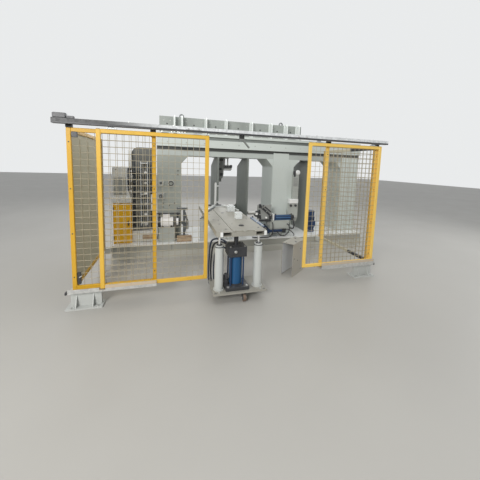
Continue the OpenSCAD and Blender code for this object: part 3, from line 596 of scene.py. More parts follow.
def guard_fittings():
    """End plugs and keepers of the fixed panels, black sleeves on the right side panel's rails,
    and the pale cap on the left side panel's back post."""
    low, high = corners("left_fixed_panel")
    rlow, rhigh = corners("right_fixed_panel")
    side_low, side_high = corners("left_side_panel")
    f = Form()
    front = low.y
    sleeve_y = -1.872
    for x in (low.x + 0.022, low.x + 0.87, rlow.x + 0.022, rhigh.x - 0.022):
        for z in evenly(low.z + 0.15, high.z - 0.15, 4):
            f.lathe((x, front, z), -Y, [(0, 0.007), (0.0015, 0.007), (0.0025, 0.005)], 12)
    f.box((low.x + 0.050, front - 0.004, high.z - 0.10), (low.x + 0.105, front + 0.020, high.z - 0.04))
    f.box((low.x + 0.050, front + 0.006, low.z + 0.06), (low.x + 0.085, front + 0.030, low.z + 0.20))
    f.box((rhigh.x - 0.10, front + 0.004, high.z - 0.005), (rhigh.x - 0.045, front + 0.028, high.z + 0.020))
    for z0, z1, reach in ((high.z - 0.047, high.z + 0.002, 0.52), (low.z - 0.001, low.z + 0.047, 0.40)):
        f.box((rhigh.x - 0.032, sleeve_y, z0), (rhigh.x + 0.002, sleeve_y + reach, z1), 0.003)
    f.paint = 1
    f.rod((low.x + 0.072, front - 0.006, low.z + 0.145), (low.x + 0.098, front - 0.006, low.z + 0.160),
          0.006, 10)
    f.paint = 2
    f.box((side_high.x, side_high.y - 0.043, side_low.z + 0.01),
          (side_high.x + 0.004, side_high.y - 0.002, side_high.z - 0.01), 0.001)
    f.piece("guard_fittings", [black_paint, bolt_steel, plate_paint])


guard_fittings()


def door_fittings(name, node, body):
    """End plugs of the tubes and the guide shoes under a door's bottom rail."""
    low, high = corners(node)
    middle = (low.y + high.y) / 2
    f = Form()
    for x in (low.x + 0.022, high.x - 0.022):
        f.box((x - 0.017, middle - 0.011, high.z - 0.002), (x + 0.017, middle + 0.011, high.z + 0.003), 0.001)
        f.box((x - 0.017, middle - 0.011, low.z - 0.003), (x + 0.017, middle + 0.011, low.z + 0.002), 0.001)
    for x in (low.x + 0.20, high.x - 0.20):
        f.rod((x, middle, low.z - 0.005), (x, middle, low.z + 0.002), 0.011, 14)
    f.piece(name, [black_paint], body)


door_fittings("left_door_fittings", "left_door", "left_door_leaf")
door_fittings("right_door_fittings", "right_door", "right_door_leaf")


def track_fittings():
    """Splice plates, bolts and a black strip of painted shade along the track's lower edge, and the drive box
    on its left end.
    """
    low, high = corners("door_track")
    f = Form()
    for x in (low.x + 1.42, low.x + 2.84):
        f.box((x - 0.09, low.y - 0.004, low.z + 0.021), (x + 0.09, low.y, high.z - 0.006), 0.001)
        f.paint = 1
        for dx in (-0.06, 0.06):
            f.bolt((x + dx, low.y - 0.004, (low.z + high.z) / 2), -Y, 0.010)
        f.paint = 0
    f.paint = 1
    for x in evenly(low.x + 0.25, high.x - 0.25, 9):
        f.bolt((x, (low.y + high.y) / 2, high.z), Z, 0.010)
    f.paint = 2
    f.box((low.x + 0.01, low.y + 0.004, high.z), (low.x + 0.13, high.y - 0.004, high.z + 0.052), 0.006)
    f.box((low.x + 0.13, low.y + 0.012, high.z), (low.x + 0.20, high.y - 0.012, high.z + 0.026), 0.004)
    for x in (low.x, high.x - 0.004):
        f.ring((x, low.y + 0.030, low.z + 0.030), X, 0.010, 0.004, 0.004, 16)
    # A black strip along the lower edge of the track's front: painted shade.
    f.box((low.x + 0.004, low.y - 0.006, low.z - 0.001), (high.x - 0.004, low.y, low.z + 0.019), 0.001)
    f.piece("track_fittings", [track_zinc, bolt_steel, black_paint])


track_fittings()


def hanger_fittings(name, node, body):
    """Angle foot and bolts that hold each hanger plate to the door's top rail."""
    low, high = corners(node)
    f = Form()
    y = (low.y + high.y) / 2
    for x in (low.x + 0.030, high.x - 0.030):
        f.paint = 0
        f.box((x - 0.055, y - 0.020, low.z), (x + 0.055, y + 0.012, low.z + 0.006), 0.001)
        f.paint = 1
        for dx in (-0.042, 0.042):
            f.bolt((x + dx, y - 0.002, low.z + 0.006), Z, 0.009)
        f.bolt((x, y - 0.004, low.z + 0.018), -Y, 0.007, False)
    f.piece(name, [fitting_zinc, bolt_steel], body)


hanger_fittings("left_hanger_feet", "left_hangers", "left_door_leaf")
hanger_fittings("right_hanger_feet", "right_hangers", "right_door_leaf")


# Portal frame

left_column = corners("left_column")
middle_column = corners("middle_column")
right_column = corners("right_column")
beam = corners("top_beam")
girder = corners("girder_box")
bed = corners("bed")
bed_plate = corners("bed_top_plate")
FRONT = left_column[0].y
BAY_TOP = beam[0].z
GUSSET = 0.135


def fillet(form, start, end, first, second, size=0.009):
    """A weld bead along an inner corner, with a slight ripple."""
    start, end = Vector(start), Vector(end)
    first, second = Vector(first), Vector(second)
    count = max(2, int((end - start).length / 0.06))
    rings = []
    for i in range(count + 1):
        point = start.lerp(end, i / count)
        reach = size * rng.uniform(0.8, 1.15)
        rings.append([point, point + first * reach, point + (first + second) * (0.42 * reach),
                      point + second * reach])
    form.skin(rings)


def frame_welds():
    f = Form()
    foot = bed_plate[1].z
    spans = [(left_column[0].x, left_column[1].x - GUSSET),
             (middle_column[0].x + GUSSET, middle_column[1].x - GUSSET),
             (right_column[0].x + GUSSET, right_column[1].x)]
    for y, out in ((FRONT, -1), (-FRONT, 1)):
        for x0, x1 in spans:
            fillet(f, (x0, y, foot), (x1, y, foot), Y * out, Z)
    for x0, x1 in spans:
        for x, out in ((x0, -1), (x1, 1)):
            fillet(f, (x, FRONT, foot), (x, -FRONT, foot), X * out, Z)
            fillet(f, (x, FRONT + 0.01, BAY_TOP - 0.16), (x, -FRONT - 0.01, BAY_TOP - 0.16), X * out, -Z,
                   0.006)
    for x in (-0.100, 0.490, 1.850):
        for side in (-1, 1):
            edge = x + side * 0.015
            fillet(f, (edge, FRONT, foot), (edge, 0.50, foot), X * side, Z)
            fillet(f, (edge, FRONT, BAY_TOP), (edge, 0.29, BAY_TOP), X * side, -Z)
    f.piece("frame_welds", [frame_paint])


frame_welds()


def column_plates():
    """Cover plates on the column fronts and the plugs of the drilled holes."""
    f = Form()
    thick = 0.006
    x0, x1 = middle_column[0].x, middle_column[1].x - GUSSET
    f.paint = 2
    f.box((x0 + 0.145, FRONT - thick, 0.262), (x1 - 0.120, FRONT, BAY_TOP + 0.12), 0.002)
    f.box((right_column[0].x + GUSSET + 0.02, FRONT - thick, 0.262),
          (right_column[1].x - 0.03, FRONT, BAY_TOP + 0.10), 0.002)
    f.paint = 0
    f.box((left_column[0].x + 0.01, FRONT - thick, 0.262),
          (left_column[0].x + 0.405, FRONT, 0.300), 0.002)
    f.paint = 1
    for x, z in ((left_column[0].x + 0.10, 0.93), (left_column[0].x + 0.30, 0.93),
                 (left_column[0].x + 0.10, 0.86),
                 (left_column[0].x + 0.21, 0.89), (left_column[0].x + 0.36, 1.52),
                 (left_column[0].x + 0.36, 1.45)):
        f.lathe((x, FRONT, z), -Y, [(0, 0.011), (0.003, 0.011), (0.004, 0.008)], 16)
    f.piece("column_plates", [left_paint, black_paint, column_paint])


column_plates()


def boss_fittings():
    """Bearing cap bolts, the flange's corner bolts and the ring's seal."""
    face = corners("column_bosses")[0].y
    boss = Vector((left_column[0].x + 0.067, face, 1.296))
    ring = Vector((boss.x + 0.172, FRONT - 0.015, 1.288))
    flange = Vector((boss.x, face, 1.061))
    f = Form()
    for place in circle(boss, X, Z, 0.041, 6):
        f.bolt(place, -Y, 0.006, False, True)
    for place in circle(ring, X, Z, 0.053, 8):
        f.bolt(place, -Y, 0.005, False, True)
    for dx, dz in product((-0.045, 0.045), repeat=2):
        f.bolt(flange + Vector((dx, 0, dz)), -Y, 0.012)
    f.paint = 1
    f.lathe(flange, -Y, [(0, 0.036), (0.022, 0.036), (0.026, 0.032), (0.026, 0.020), (0.045, 0.018)], 28)
    f.lathe(boss + Vector((0, 0.024, 0)), -Y, [(0, 0.0245), (0.016, 0.0245), (0.020, 0.020)], 24)
    f.paint = 2
    f.ring(ring + Vector((0, 0.013, 0)), -Y, 0.047, 0.030, 0.006)
    f.piece("boss_fittings", [bolt_steel, dark_iron, black_rubber])


boss_fittings()


def girder_details():
    """Weld beads along the ribs, flange bolts, inspection plates and small drain holes on the ribbed girder.
    """
    ribs = [-0.900, -0.768, -0.340, 0.041, 0.540, 0.943, 1.273, 1.539]
    f = Form()
    z0, z1 = girder[0].z, girder[1].z
    for side in (-1, 1):
        y = side * girder[1].y
        for left, right in zip([girder[0].x] + ribs, ribs + [girder[1].x]):
            width = right - left
            middle = (left + right) / 2
            if width > 0.2:
                f.paint = 0
                f.box((left + 0.05, min(y, y + side * 0.006), z0 + 0.045),
                      (right - 0.05, max(y, y + side * 0.006), z1 - 0.045), 0.002)
                f.paint = 1
                for x in (left + 0.075, right - 0.075):
                    for z in (z0 + 0.075, z1 - 0.075):
                        f.bolt((x, y + side * 0.006, z), Y * side, 0.009)
                f.paint = 2
                f.lathe((middle, y + side * 0.006, z0 + 0.16), Y * side,
                        [(0, 0.014), (0.002, 0.014), (0.003, 0.010)], 16)
            f.paint = 1
            for x in evenly(left + 0.05, right - 0.05, max(2, round(width / 0.13))):
                f.bolt((x, side * 0.300, z0), Z, 0.020)
    f.paint = 3
    for x in ribs:
        for side in (-1, 1):
            for edge in (-0.010, 0.010):
                fillet(f, (x + edge, side * 0.200, z0), (x + edge, side * 0.200, z1),
                       X * math.copysign(1, edge),
                       Y * side, 0.007)
                fillet(f, (x + edge, side * 0.205, z0), (x + edge, side * 0.340, z0),
                       X * math.copysign(1, edge),
                       Z, 0.007)
    f.piece("girder_details", [girder_paint, bolt_steel, black_paint, rib_paint])


girder_details()


def beam_details():
    """Painted plugs along the lower ledge, and the dark parts at the beam's left end."""
    ledge_y = 0.345
    f = Form()
    for side in (-1, 1):
        for x in evenly(beam[0].x + 0.18, beam[1].x - 0.18, 13):
            f.lathe((x, side * ledge_y, 2.030), Y * side, [(0, 0.012), (0.0015, 0.012), (0.003, 0.009)], 16)
    f.paint = 2
    f.box((-0.78, -0.352, 1.925), (-0.60, -0.300, 1.948), 0.004)
    f.box((-1.12, -0.349, 2.155), (-1.00, -ledge_y, 2.185), 0.001)
    f.box((-0.92, -0.349, 2.155), (-0.86, -ledge_y, 2.185), 0.001)
    f.piece("beam_details", [frame_paint, bolt_steel, black_paint])


beam_details()


def bed_details():
    """Anchor bolts along the foot, hold-down bolts on the plate, seams and the loose timber."""
    f = Form()
    plate_top = bed_plate[1].z
    for x, y in product(evenly(bed[0].x + 0.15, bed[1].x - 0.15, 12), (-0.565, 0.565)):
        f.bolt((x, y, 0.125), Z, 0.012)
    for x, y in product(evenly(bed[0].x + 0.12, bed[1].x - 0.12, 16), (-0.535, 0.535)):
        f.bolt((x, y, plate_top), Z, 0.009, False, True)
    f.paint = 1
    for x in (-0.95, 0.62, 1.92):
        for side in (-1, 1):
            y0, y1 = sorted((side * 0.550, side * 0.5535))
            f.box((x - 0.004, y0, 0.127), (x + 0.004, y1, 0.233), 0.001)
    f.piece("bed_details", [bolt_steel, web_shade_and_seam_paint])

    blocks = Form()
    blocks.box((-0.86, -0.530, plate_top), (-0.60, -0.445, plate_top + 0.10), 0.006)
    blocks.piece("timber_blocks", [wood])


bed_details()


# Drive end

def cabinet_fittings():
    """Door, hinges and lock of the yellow cabinet, and the panels of the pale housing on it."""
    low, high = corners("control_cabinet")
    shelf = low.z + 0.700
    side = low.x + 0.220
    f = Form()
    proud = 0.010
    f.box((low.x + 0.012, low.y - proud, low.z + 0.02), (high.x - 0.012, low.y, shelf - 0.015), 0.004)
    f.paint = 1
    for z in (low.z + 0.10, shelf - 0.10):
        f.rod((low.x + 0.010, low.y - 0.012, z - 0.03), (low.x + 0.010, low.y - 0.012, z + 0.03), 0.006, 12)
    f.lathe((high.x - 0.045, low.y - proud, low.z + 0.35), -Y, [(0, 0.016), (0.010, 0.016), (0.013, 0.012)],
            20)
    f.box((high.x - 0.052, low.y - proud - 0.022, low.z + 0.31),
          (high.x - 0.038, low.y - proud - 0.010, low.z + 0.40), 0.004)
    f.rod((side + 0.016, low.y + 0.06, 1.30), (side + 0.016, low.y + 0.06, 1.36), 0.014, 14)
    f.lathe((low.x + 0.055, low.y + 0.016, 1.525), -Y, [(0, 0.012), (0.008, 0.012), (0.010, 0.008)], 16)
    f.paint = 2
    front = low.y + 0.016
    f.box((low.x - 0.004, front, shelf + 0.002), (side + 0.004, high.y - 0.036, high.z + 0.004), 0.006)
    f.box((low.x - 0.004, low.y - 0.012, shelf), (high.x, high.y - 0.020, shelf + 0.095), 0.006)
    f.slab([(side, low.y + 0.03, shelf + 0.090), (high.x - 0.010, low.y + 0.03, shelf + 0.090),
            (side, low.y + 0.03, shelf + 0.230)], (0, 0.22, 0))
    f.box((low.x + 0.012, front - 0.006, 1.395), (side - 0.010, front, high.z - 0.014), 0.003)
    f.paint = 3
    f.box((low.x + 0.022, front - 0.012, 1.105), (side - 0.070, front, 1.375), 0.005)
    f.box((side - 0.060, front - 0.006, 1.105), (side - 0.008, front, 1.375), 0.003)
    f.paint = 4
    for z, x in product((1.135, 1.345), (low.x + 0.034, side - 0.082)):
        f.bolt((x, front - 0.012, z), -Y, 0.005, False, True)
    for z in (shelf + 0.025, shelf + 0.070):
        f.bolt((high.x - 0.02, low.y - 0.012, z), -Y, 0.006, False, True)
    f.piece("cabinet_fittings", [cabinet_paint, black_paint, plate_paint, screen_paint, bolt_steel])


cabinet_fittings()


def drive_fittings():
    """Guide rails, valve coils, gauges, bars and plates on the drive column, and the hood's trim."""
    low, high = corners("drive_column")
    valves_low, valves_high = corners("valve_stack")
    f = Form()
    for x in (low.x + 0.025, high.x - 0.025):
        f.box((x - 0.018, low.y - 0.020, low.z), (x + 0.018, low.y, high.z), 0.003)
        f.box((x - 0.010, low.y - 0.034, low.z), (x + 0.010, low.y - 0.018, high.z), 0.002)
    valve_count, valve_pitch = 6, 0.180
    for i in range(valve_count):
        z = valves_low.z + i * valve_pitch
        f.paint = 0
        f.box((valves_low.x + 0.015, valves_low.y - 0.030, z + 0.02),
              (valves_high.x - 0.015, valves_low.y, z + 0.10), 0.004)
        f.paint = 1
        f.rod((valves_low.x - 0.045, valves_low.y + 0.045, z + 0.06),
              (valves_low.x, valves_low.y + 0.045, z + 0.06), 0.026)
        f.rod((valves_high.x, valves_low.y + 0.045, z + 0.06),
              (valves_high.x + 0.045, valves_low.y + 0.045, z + 0.06),
              0.026)
        f.box((valves_low.x + 0.03, valves_low.y - 0.045, z + 0.035),
              (valves_low.x + 0.075, valves_low.y - 0.028, z + 0.085), 0.003)
        f.paint = 2
        for dx, dz in product((0.025, 0.205), (0.035, 0.085)):
            f.bolt((valves_low.x + dx, valves_low.y - 0.030, z + dz), -Y, 0.007, False, True)
        f.lathe((valves_high.x - 0.060, valves_low.y - 0.030, z + 0.06), -Y,
                [(0, 0.024), (0.018, 0.024), (0.020, 0.021)], 24)
        if i % 2:
            f.paint = 3
            f.lathe((valves_high.x - 0.060, valves_low.y - 0.0505, z + 0.06), -Y,
                    [(0, 0.019), (0.001, 0.019)], 24)
    f.paint = 4
    bar_y = valves_low.y - 0.052
    for x in (-1.455, -1.350):
        f.box((x - 0.005, bar_y, 0.56), (x + 0.005, bar_y + 0.020, high.z - 0.02), 0.002)
    f.box((-1.545, bar_y - 0.004, 1.350), (-1.345, bar_y + 0.014, 1.362), 0.002)
    for z in (0.60, 1.10, high.z - 0.06):
        f.box((-1.460, bar_y + 0.010, z), (-1.345, low.y, z + 0.012), 0.002)
    f.box((-1.302, valves_low.y + 0.020, 0.80), (high.x, low.y, 1.10), 0.006)
    f.box((low.x - 0.002, valves_low.y, 0.262), (high.x, valves_low.y + 0.010, 0.468), 0.003)
    f.box((low.x - 0.002, valves_low.y, 0.456), (high.x, low.y, 0.468), 0.003)
    for x in (low.x - 0.002, high.x - 0.010):
        f.box((x, valves_low.y, 0.262), (x + 0.010, low.y, 0.468), 0.003)
    f.paint = 5
    f.box((-1.438, valves_low.y - 0.060, 0.322), (high.x, valves_low.y, 0.384), 0.004)
    f.paint = 4
    tube_x, tube_y = low.x - 0.022, low.y - 0.046
    f.rod((tube_x, tube_y, 1.552), (tube_x, tube_y, 1.86), 0.027, 20)
    f.lathe((tube_x + 0.022, tube_y - 0.010, 1.365), Z,
            [(0, 0.010), (0.015, 0.019), (0.055, 0.019), (0.070, 0.010)], 18)
    f.paint = 1
    for z, radius in ((1.530, 0.024), (1.470, 0.021), (1.285, 0.036), (1.190, 0.022)):
        f.lathe((tube_x, tube_y + 0.02, z), -Y, [(0, radius), (0.045, radius), (0.052, radius * 0.75)], 20)
    f.rod((tube_x, tube_y, 1.17), (tube_x, tube_y, 1.56), 0.010, 12)
    for z in (1.20, 1.545):
        f.box((tube_x, tube_y - 0.008, z - 0.008), (low.x + 0.010, low.y + 0.005, z + 0.008), 0.002)
    f.piece("drive_fittings", [dark_iron, black_paint, bolt_steel, white_paper, plate_paint, wood])

    hood_low, hood_high = corners("drive_hood")
    h = Form()
    for x in (hood_low.x + 0.05, hood_low.x + 0.175, hood_low.x + 0.30):
        h.bolt((x, hood_low.y, hood_low.z + 0.03), -Y, 0.008)
    h.box((hood_low.x, hood_low.y - 0.004, hood_low.z), (hood_high.x, hood_low.y, hood_low.z + 0.020), 0.001)
    h.box((hood_high.x - 0.020, hood_low.y - 0.004, hood_low.z + 0.02),
          (hood_high.x, hood_low.y, hood_high.z - 0.004), 0.001)
    h.piece("hood_trim", [hood_zinc])


drive_fittings()


def fins(form, start, axes, count, radius, rise, half, length, slant=0.0):
    """Cooling fins around a motor. axes are two across it and one along it. slant moves the tips along."""
    first, second, along = axes
    for i in range(count):
        angle = math.tau * i / count
        out = first * math.cos(angle) + second * math.sin(angle)
        side = (second * math.cos(angle) - first * math.sin(angle)) * half
        root = start + out * (radius - 0.002)
        tip = start + out * (radius + rise) + along * slant
        form.slab([root - side, tip - side, tip + side, root + side], along * length)


def motor_fittings():
    """Cooling fins, terminal box, fan cowl and feet of the drive motor, and the rod above it."""
    low, high = corners("drive_motor")
    y = (low.y + high.y) / 2
    z = (low.z + high.z) / 2
    radius = (high.z - low.z) / 2
    x0, x1 = left_column[0].x + 0.02, left_column[0].x + 0.32
    f = Form()
    fins(f, Vector((x0 + 0.05, y, z)), (Y, Z, X), 28, radius, 0.010, 0.0022, x1 - x0 - 0.10, 0.005)
    f.box((x0 + 0.08, y - 0.055, z + radius), (x0 + 0.20, y + 0.055, z + radius + 0.055), 0.006)
    f.paint = 1
    f.lathe((x0 - 0.002, y, z), X, [(0, radius + 0.004), (0.045, radius + 0.006), (0.047, radius)], 36)
    f.lathe((x1 - 0.045, y, z), X, [(0, radius), (0.006, radius + 0.006), (0.049, radius + 0.004)], 36)
    f.lathe((x1 + 0.045, y, z), X, [(0, radius - 0.022), (0.012, radius - 0.026), (0.030, 0.030)], 30)
    for x in (x0 + 0.06, x1 - 0.09):
        f.box((x, y - 0.085, z - radius - 0.002), (x + 0.03, y + 0.085, z - radius + 0.030), 0.003)
    f.rod((x0 - 0.02, y - 0.01, z + 0.155), (x1 + 0.08, y - 0.01, z + 0.155), 0.011, 14)
    for x in (x0 + 0.01, x1 + 0.02):
        f.box((x, y - 0.025, z + radius - 0.01), (x + 0.03, y + 0.01, z + 0.170), 0.004)
    f.paint = 2
    for x in (x0 + 0.075, x1 - 0.075):
        for side in (-0.075, 0.075):
            f.bolt((x, y + side, z - radius + 0.030), Z, 0.008)
    f.piece("motor_fittings", [motor_paint, black_paint, bolt_steel])


motor_fittings()


def clamp_fittings():
    """Pins, side links and the toggle bars of the clamp in front of the left column."""
    low, high = corners("clamp_link")
    x, y = low.x + 0.13, (low.y + high.y) / 2
    link = 0.008
    f = Form()
    for z in (0.42, 0.60, 0.78):
        f.rod((x, y - 0.045, z), (x, y + 0.045, z), 0.022, 20)
    for side in (-0.034, 0.034):
        f.slab([(x - 0.018, y + side, 0.40), (x + 0.018, y + side, 0.40), (x + 0.075, y + side, 0.62),
                (x + 0.045, y + side, 0.64)], Y * link)
        f.slab([(x + 0.045, y + side, 0.60), (x + 0.075, y + side, 0.62), (x + 0.016, y + side, 0.80),
                (x - 0.016, y + side, 0.78)], Y * link)
        f.slab([(x - 0.02, y + side, 0.55), (x - 0.02, y + side, 0.59), (x - 0.17, y + side, 0.68),
                (x - 0.19, y + side, 0.65)], Y * link)
    f.paint = 1
    f.rod((x + 0.060, y - 0.06, 0.61), (x + 0.060, y + 0.06, 0.61), 0.016, 16)
    f.rod((x + 0.06, y, 0.60), (x + 0.06, y, 0.46), 0.020, 16)
    f.rod((x - 0.175, y - 0.045, 0.665), (x - 0.175, y + 0.045, 0.665), 0.014, 16)
    for dx in (-0.10, 0.03):
        f.bolt((x + dx, y, high.z), Z, 0.014)
    f.piece("clamp_fittings", [dark_iron, bolt_steel])


clamp_fittings()


# Tool head in the left opening

def guide_head_fittings():
    """Bars, rods and dark clamps on the head's front and on its bracket, and the pale tube beside the bay."""
    y = corners("guide_head")[0].y
    f = Form()
    f.slab([(-0.040, y, 1.690), (-0.014, y, 1.672), (-0.050, y, 1.600), (-0.074, y, 1.614)], (0, -0.022, 0))
    f.lathe((-0.005, y, 1.569), -Y, [(0, 0.024), (0.020, 0.024), (0.026, 0.018)], 24)
    f.box((-0.010, y - 0.020, 1.435), (0.042, y + 0.01, 1.490), 0.004)
    f.box((0.064, y - 0.006, 1.600), (0.236, y + 0.024, 1.640), 0.004)
    f.box((0.188, y - 0.014, 1.597), (0.238, y + 0.030, 1.655), 0.004)
    f.box((0.070, y, 1.541), (0.216, y + 0.026, 1.552), 0.002)
    f.box((-0.070, y - 0.010, 1.735), (0.050, y, 1.770), 0.003)
    f.paint = 1
    f.box((0.060, y - 0.008, 1.555), (0.226, y + 0.024, 1.580), 0.003)
    for x in (0.088, 0.153):
        f.rod((x, y + 0.045, 1.640), (x, y + 0.045, 1.780), 0.014, 18)
        f.lathe((x, y + 0.045, 1.640), Z, [(0, 0.022), (0.014, 0.022), (0.018, 0.016)], 18)
    for x in evenly(0.080, 0.170, 3):
        f.bolt((x, y - 0.006, 1.620), -Y, 0.006, False, True)
    for z in (1.50, 1.63, 1.71):
        f.bolt((0.045, y, z), -Y, 0.007)
    f.box((0.070, y + 0.030, 1.778), (0.172, y + 0.062, BAY_TOP), 0.003)
    f.paint = 2
    f.rod((-0.150, -0.324, 0.885), (-0.150, -0.324, 1.300), 0.021, 20)
    f.rod((-0.150, -0.324, 1.294), (-0.150, -0.324, 1.318), 0.015, 16)
    for z in (0.93, 1.24):
        f.box((-0.150, -0.334, z), (-0.090, -0.300, z + 0.020), 0.003)
    f.piece("guide_head_fittings", [black_paint, bolt_steel, plate_paint])


guide_head_fittings()


# Hydraulics at the middle column

# How far the tie bars lie inside the edge of a square end cap
TIE_INSET = 0.014


def cylinder_end(form, centre, axis, side, thick):
    """A square end cap with four tie nuts."""
    centre = Vector(centre)
    axis = Vector(axis).normalized()
    first, second = side_vectors(axis)
    half = side / 2
    cut = 0.006
    outline = [(half - cut, half), (half, half - cut), (half, -half + cut), (half - cut, -half),
               (-half + cut, -half), (-half, -half + cut), (-half, half - cut), (-half + cut, half)]
    form.skin([[centre + axis * along + first * a + second * b for a, b in outline] for along in (0, thick)])
    reach = half - TIE_INSET
    for a, b in product((-reach, reach), repeat=2):
        nut = centre + first * a + second * b
        form.bolt(nut + axis * thick, axis, 0.007, False)
        form.bolt(nut, -axis, 0.007, False)


def tie_bars(form, start, end, side, radius=0.0045):
    start, end = Vector(start), Vector(end)
    first, second = side_vectors(end - start)
    reach = side / 2 - TIE_INSET
    for a, b in product((-reach, reach), repeat=2):
        offset = first * a + second * b
        form.rod(start + offset, end + offset, radius, 8)


def cross_cylinder_fittings():
    """Caps, tie bars and ports of the upper and the lower cross cylinder."""
    low, high = corners("cross_cylinder")
    y = (low.y + high.y) / 2
    upper, lower = high.z - 0.050, low.z + 0.042
    x0, x1 = high.x - 0.461, high.x - 0.042
    f = Form()
    cylinder_end(f, (x1 - 0.060, y, upper), X, 0.104, 0.062)
    cylinder_end(f, (low.x + 0.300, y, lower), X, 0.090, 0.078)
    f.rod((x0 + 0.045, y, upper + 0.040), (x0 + 0.045, y, upper + 0.075), 0.013, 14)
    f.rod((x1 - 0.030, y, upper + 0.040), (x1 - 0.030, y, upper + 0.075), 0.013, 14)
    f.rod((low.x + 0.190, y - 0.052, lower - 0.012), (low.x + 0.190, y - 0.030, lower - 0.012), 0.012, 14)
    f.paint = 3
    cylinder_end(f, (x0, y, upper), X, 0.104, 0.030)
    cylinder_end(f, (low.x - 0.003, y, lower), X, 0.089, 0.030)
    f.paint = 1
    tie_bars(f, (low.x + 0.02, y, lower), (low.x + 0.31, y, lower), 0.092)
    f.rod((high.x - 0.010, y, upper), (high.x + 0.012, y, upper), 0.024, 20)
    f.paint = 2
    f.box((x0 + 0.034, y - 0.056, upper - 0.010), (x1 - 0.064, y - 0.040, upper + 0.012), 0.004)
    tie_bars(f, (x0 + 0.02, y, upper), (x1 - 0.02, y, upper), 0.106, 0.006)
    f.piece("cross_cylinder_fittings", [black_paint, bolt_steel, pull_paint, navy_paint])


cross_cylinder_fittings()


def pull_cylinder_fittings():
    low, high = corners("pull_cylinder")
    x = (low.x + high.x) / 2
    z = (low.z + high.z) / 2
    radius = (high.z - low.z) / 2
    f = Form()
    f.lathe((x, low.y - 0.006, z), Y, [(0, radius - 0.004), (0.004, radius + 0.003), (0.034, radius + 0.003),
                                               (0.038, radius - 0.002)], 32)
    f.lathe((x, high.y - 0.03, z), Y, [(0, radius - 0.002), (0.004, radius + 0.003),
                                       (0.034, radius + 0.003)], 32)
    f.paint = 1
    f.rod((x, low.y - 0.028, z), (x, low.y, z), 0.020, 20)
    for y in (low.y + 0.10, low.y + 0.42):
        f.ring((x, y, z), Y, radius + 0.004, radius - 0.004, 0.018)
    f.paint = 2
    for y in (low.y + 0.05, high.y - 0.06):
        f.rod((x, y, z + radius - 0.004), (x, y, z + radius + 0.030), 0.013, 14)
    f.piece("pull_cylinder_fittings", [navy_paint, bolt_steel, black_paint])


pull_cylinder_fittings()


def gripper_fittings():
    """Diagonal jaw bars, pivots, the silver roller with its black ring, and the round sensor."""
    y = corners("gripper")[0].y
    f = Form()
    bars = (((0.689, 0.880), (0.908, 0.690), 0.018, 0.034), ((0.738, 0.905), (0.900, 0.775), 0.011, 0.026),
            ((0.660, 0.820), (0.690, 0.640), 0.016, 0.022))
    for start, end, half, thick in bars:
        a, b = Vector((start[0], y, start[1])), Vector((end[0], y, end[1]))
        across = (b - a).normalized().cross(Y) * half
        f.slab([a - across, b - across, b + across, a + across], (0, -thick, 0))
    f.box((0.672, y - 0.030, 0.588), (0.908, y + 0.022, 0.630), 0.005)
    f.box((0.868, y - 0.026, 0.632), (0.922, y + 0.010, 0.705), 0.006)
    f.box((0.655, y - 0.020, 0.855), (0.700, y + 0.030, 0.930), 0.006)
    f.ring((0.610, y - 0.004, 0.742), -Y, 0.058, 0.040, 0.020)
    f.box((0.596, y + 0.004, 0.690), (0.662, y + 0.026, 0.800), 0.005)
    f.box((0.628, y - 0.018, 0.662), (0.668, y + 0.012, 0.712), 0.005)
    f.paint = 1
    f.lathe((0.430, y - 0.008, 0.765), X, [(0, 0.026), (0.006, 0.034), (0.100, 0.034), (0.104, 0.030),
                                                   (0.108, 0.034), (0.146, 0.034), (0.150, 0.028)], 28)
    f.rod((0.575, y + 0.012, 0.765), (0.650, y + 0.012, 0.765), 0.014, 16)
    for x, z in ((0.712, 0.860), (0.800, 0.783), (0.885, 0.710), (0.760, 0.888), (0.675, 0.730)):
        f.bolt((x, y - 0.028, z), -Y, 0.011)
    f.paint = 2
    f.lathe((0.808, y - 0.006, 0.663), -Y, [(0, 0.018), (0.026, 0.018), (0.030, 0.013)], 24)
    f.lathe((0.610, y - 0.004, 0.742), -Y, [(0, 0.026), (0.010, 0.026), (0.014, 0.020)], 24)
    f.piece("gripper_fittings", [black_paint, bolt_steel, white_paper])


gripper_fittings()


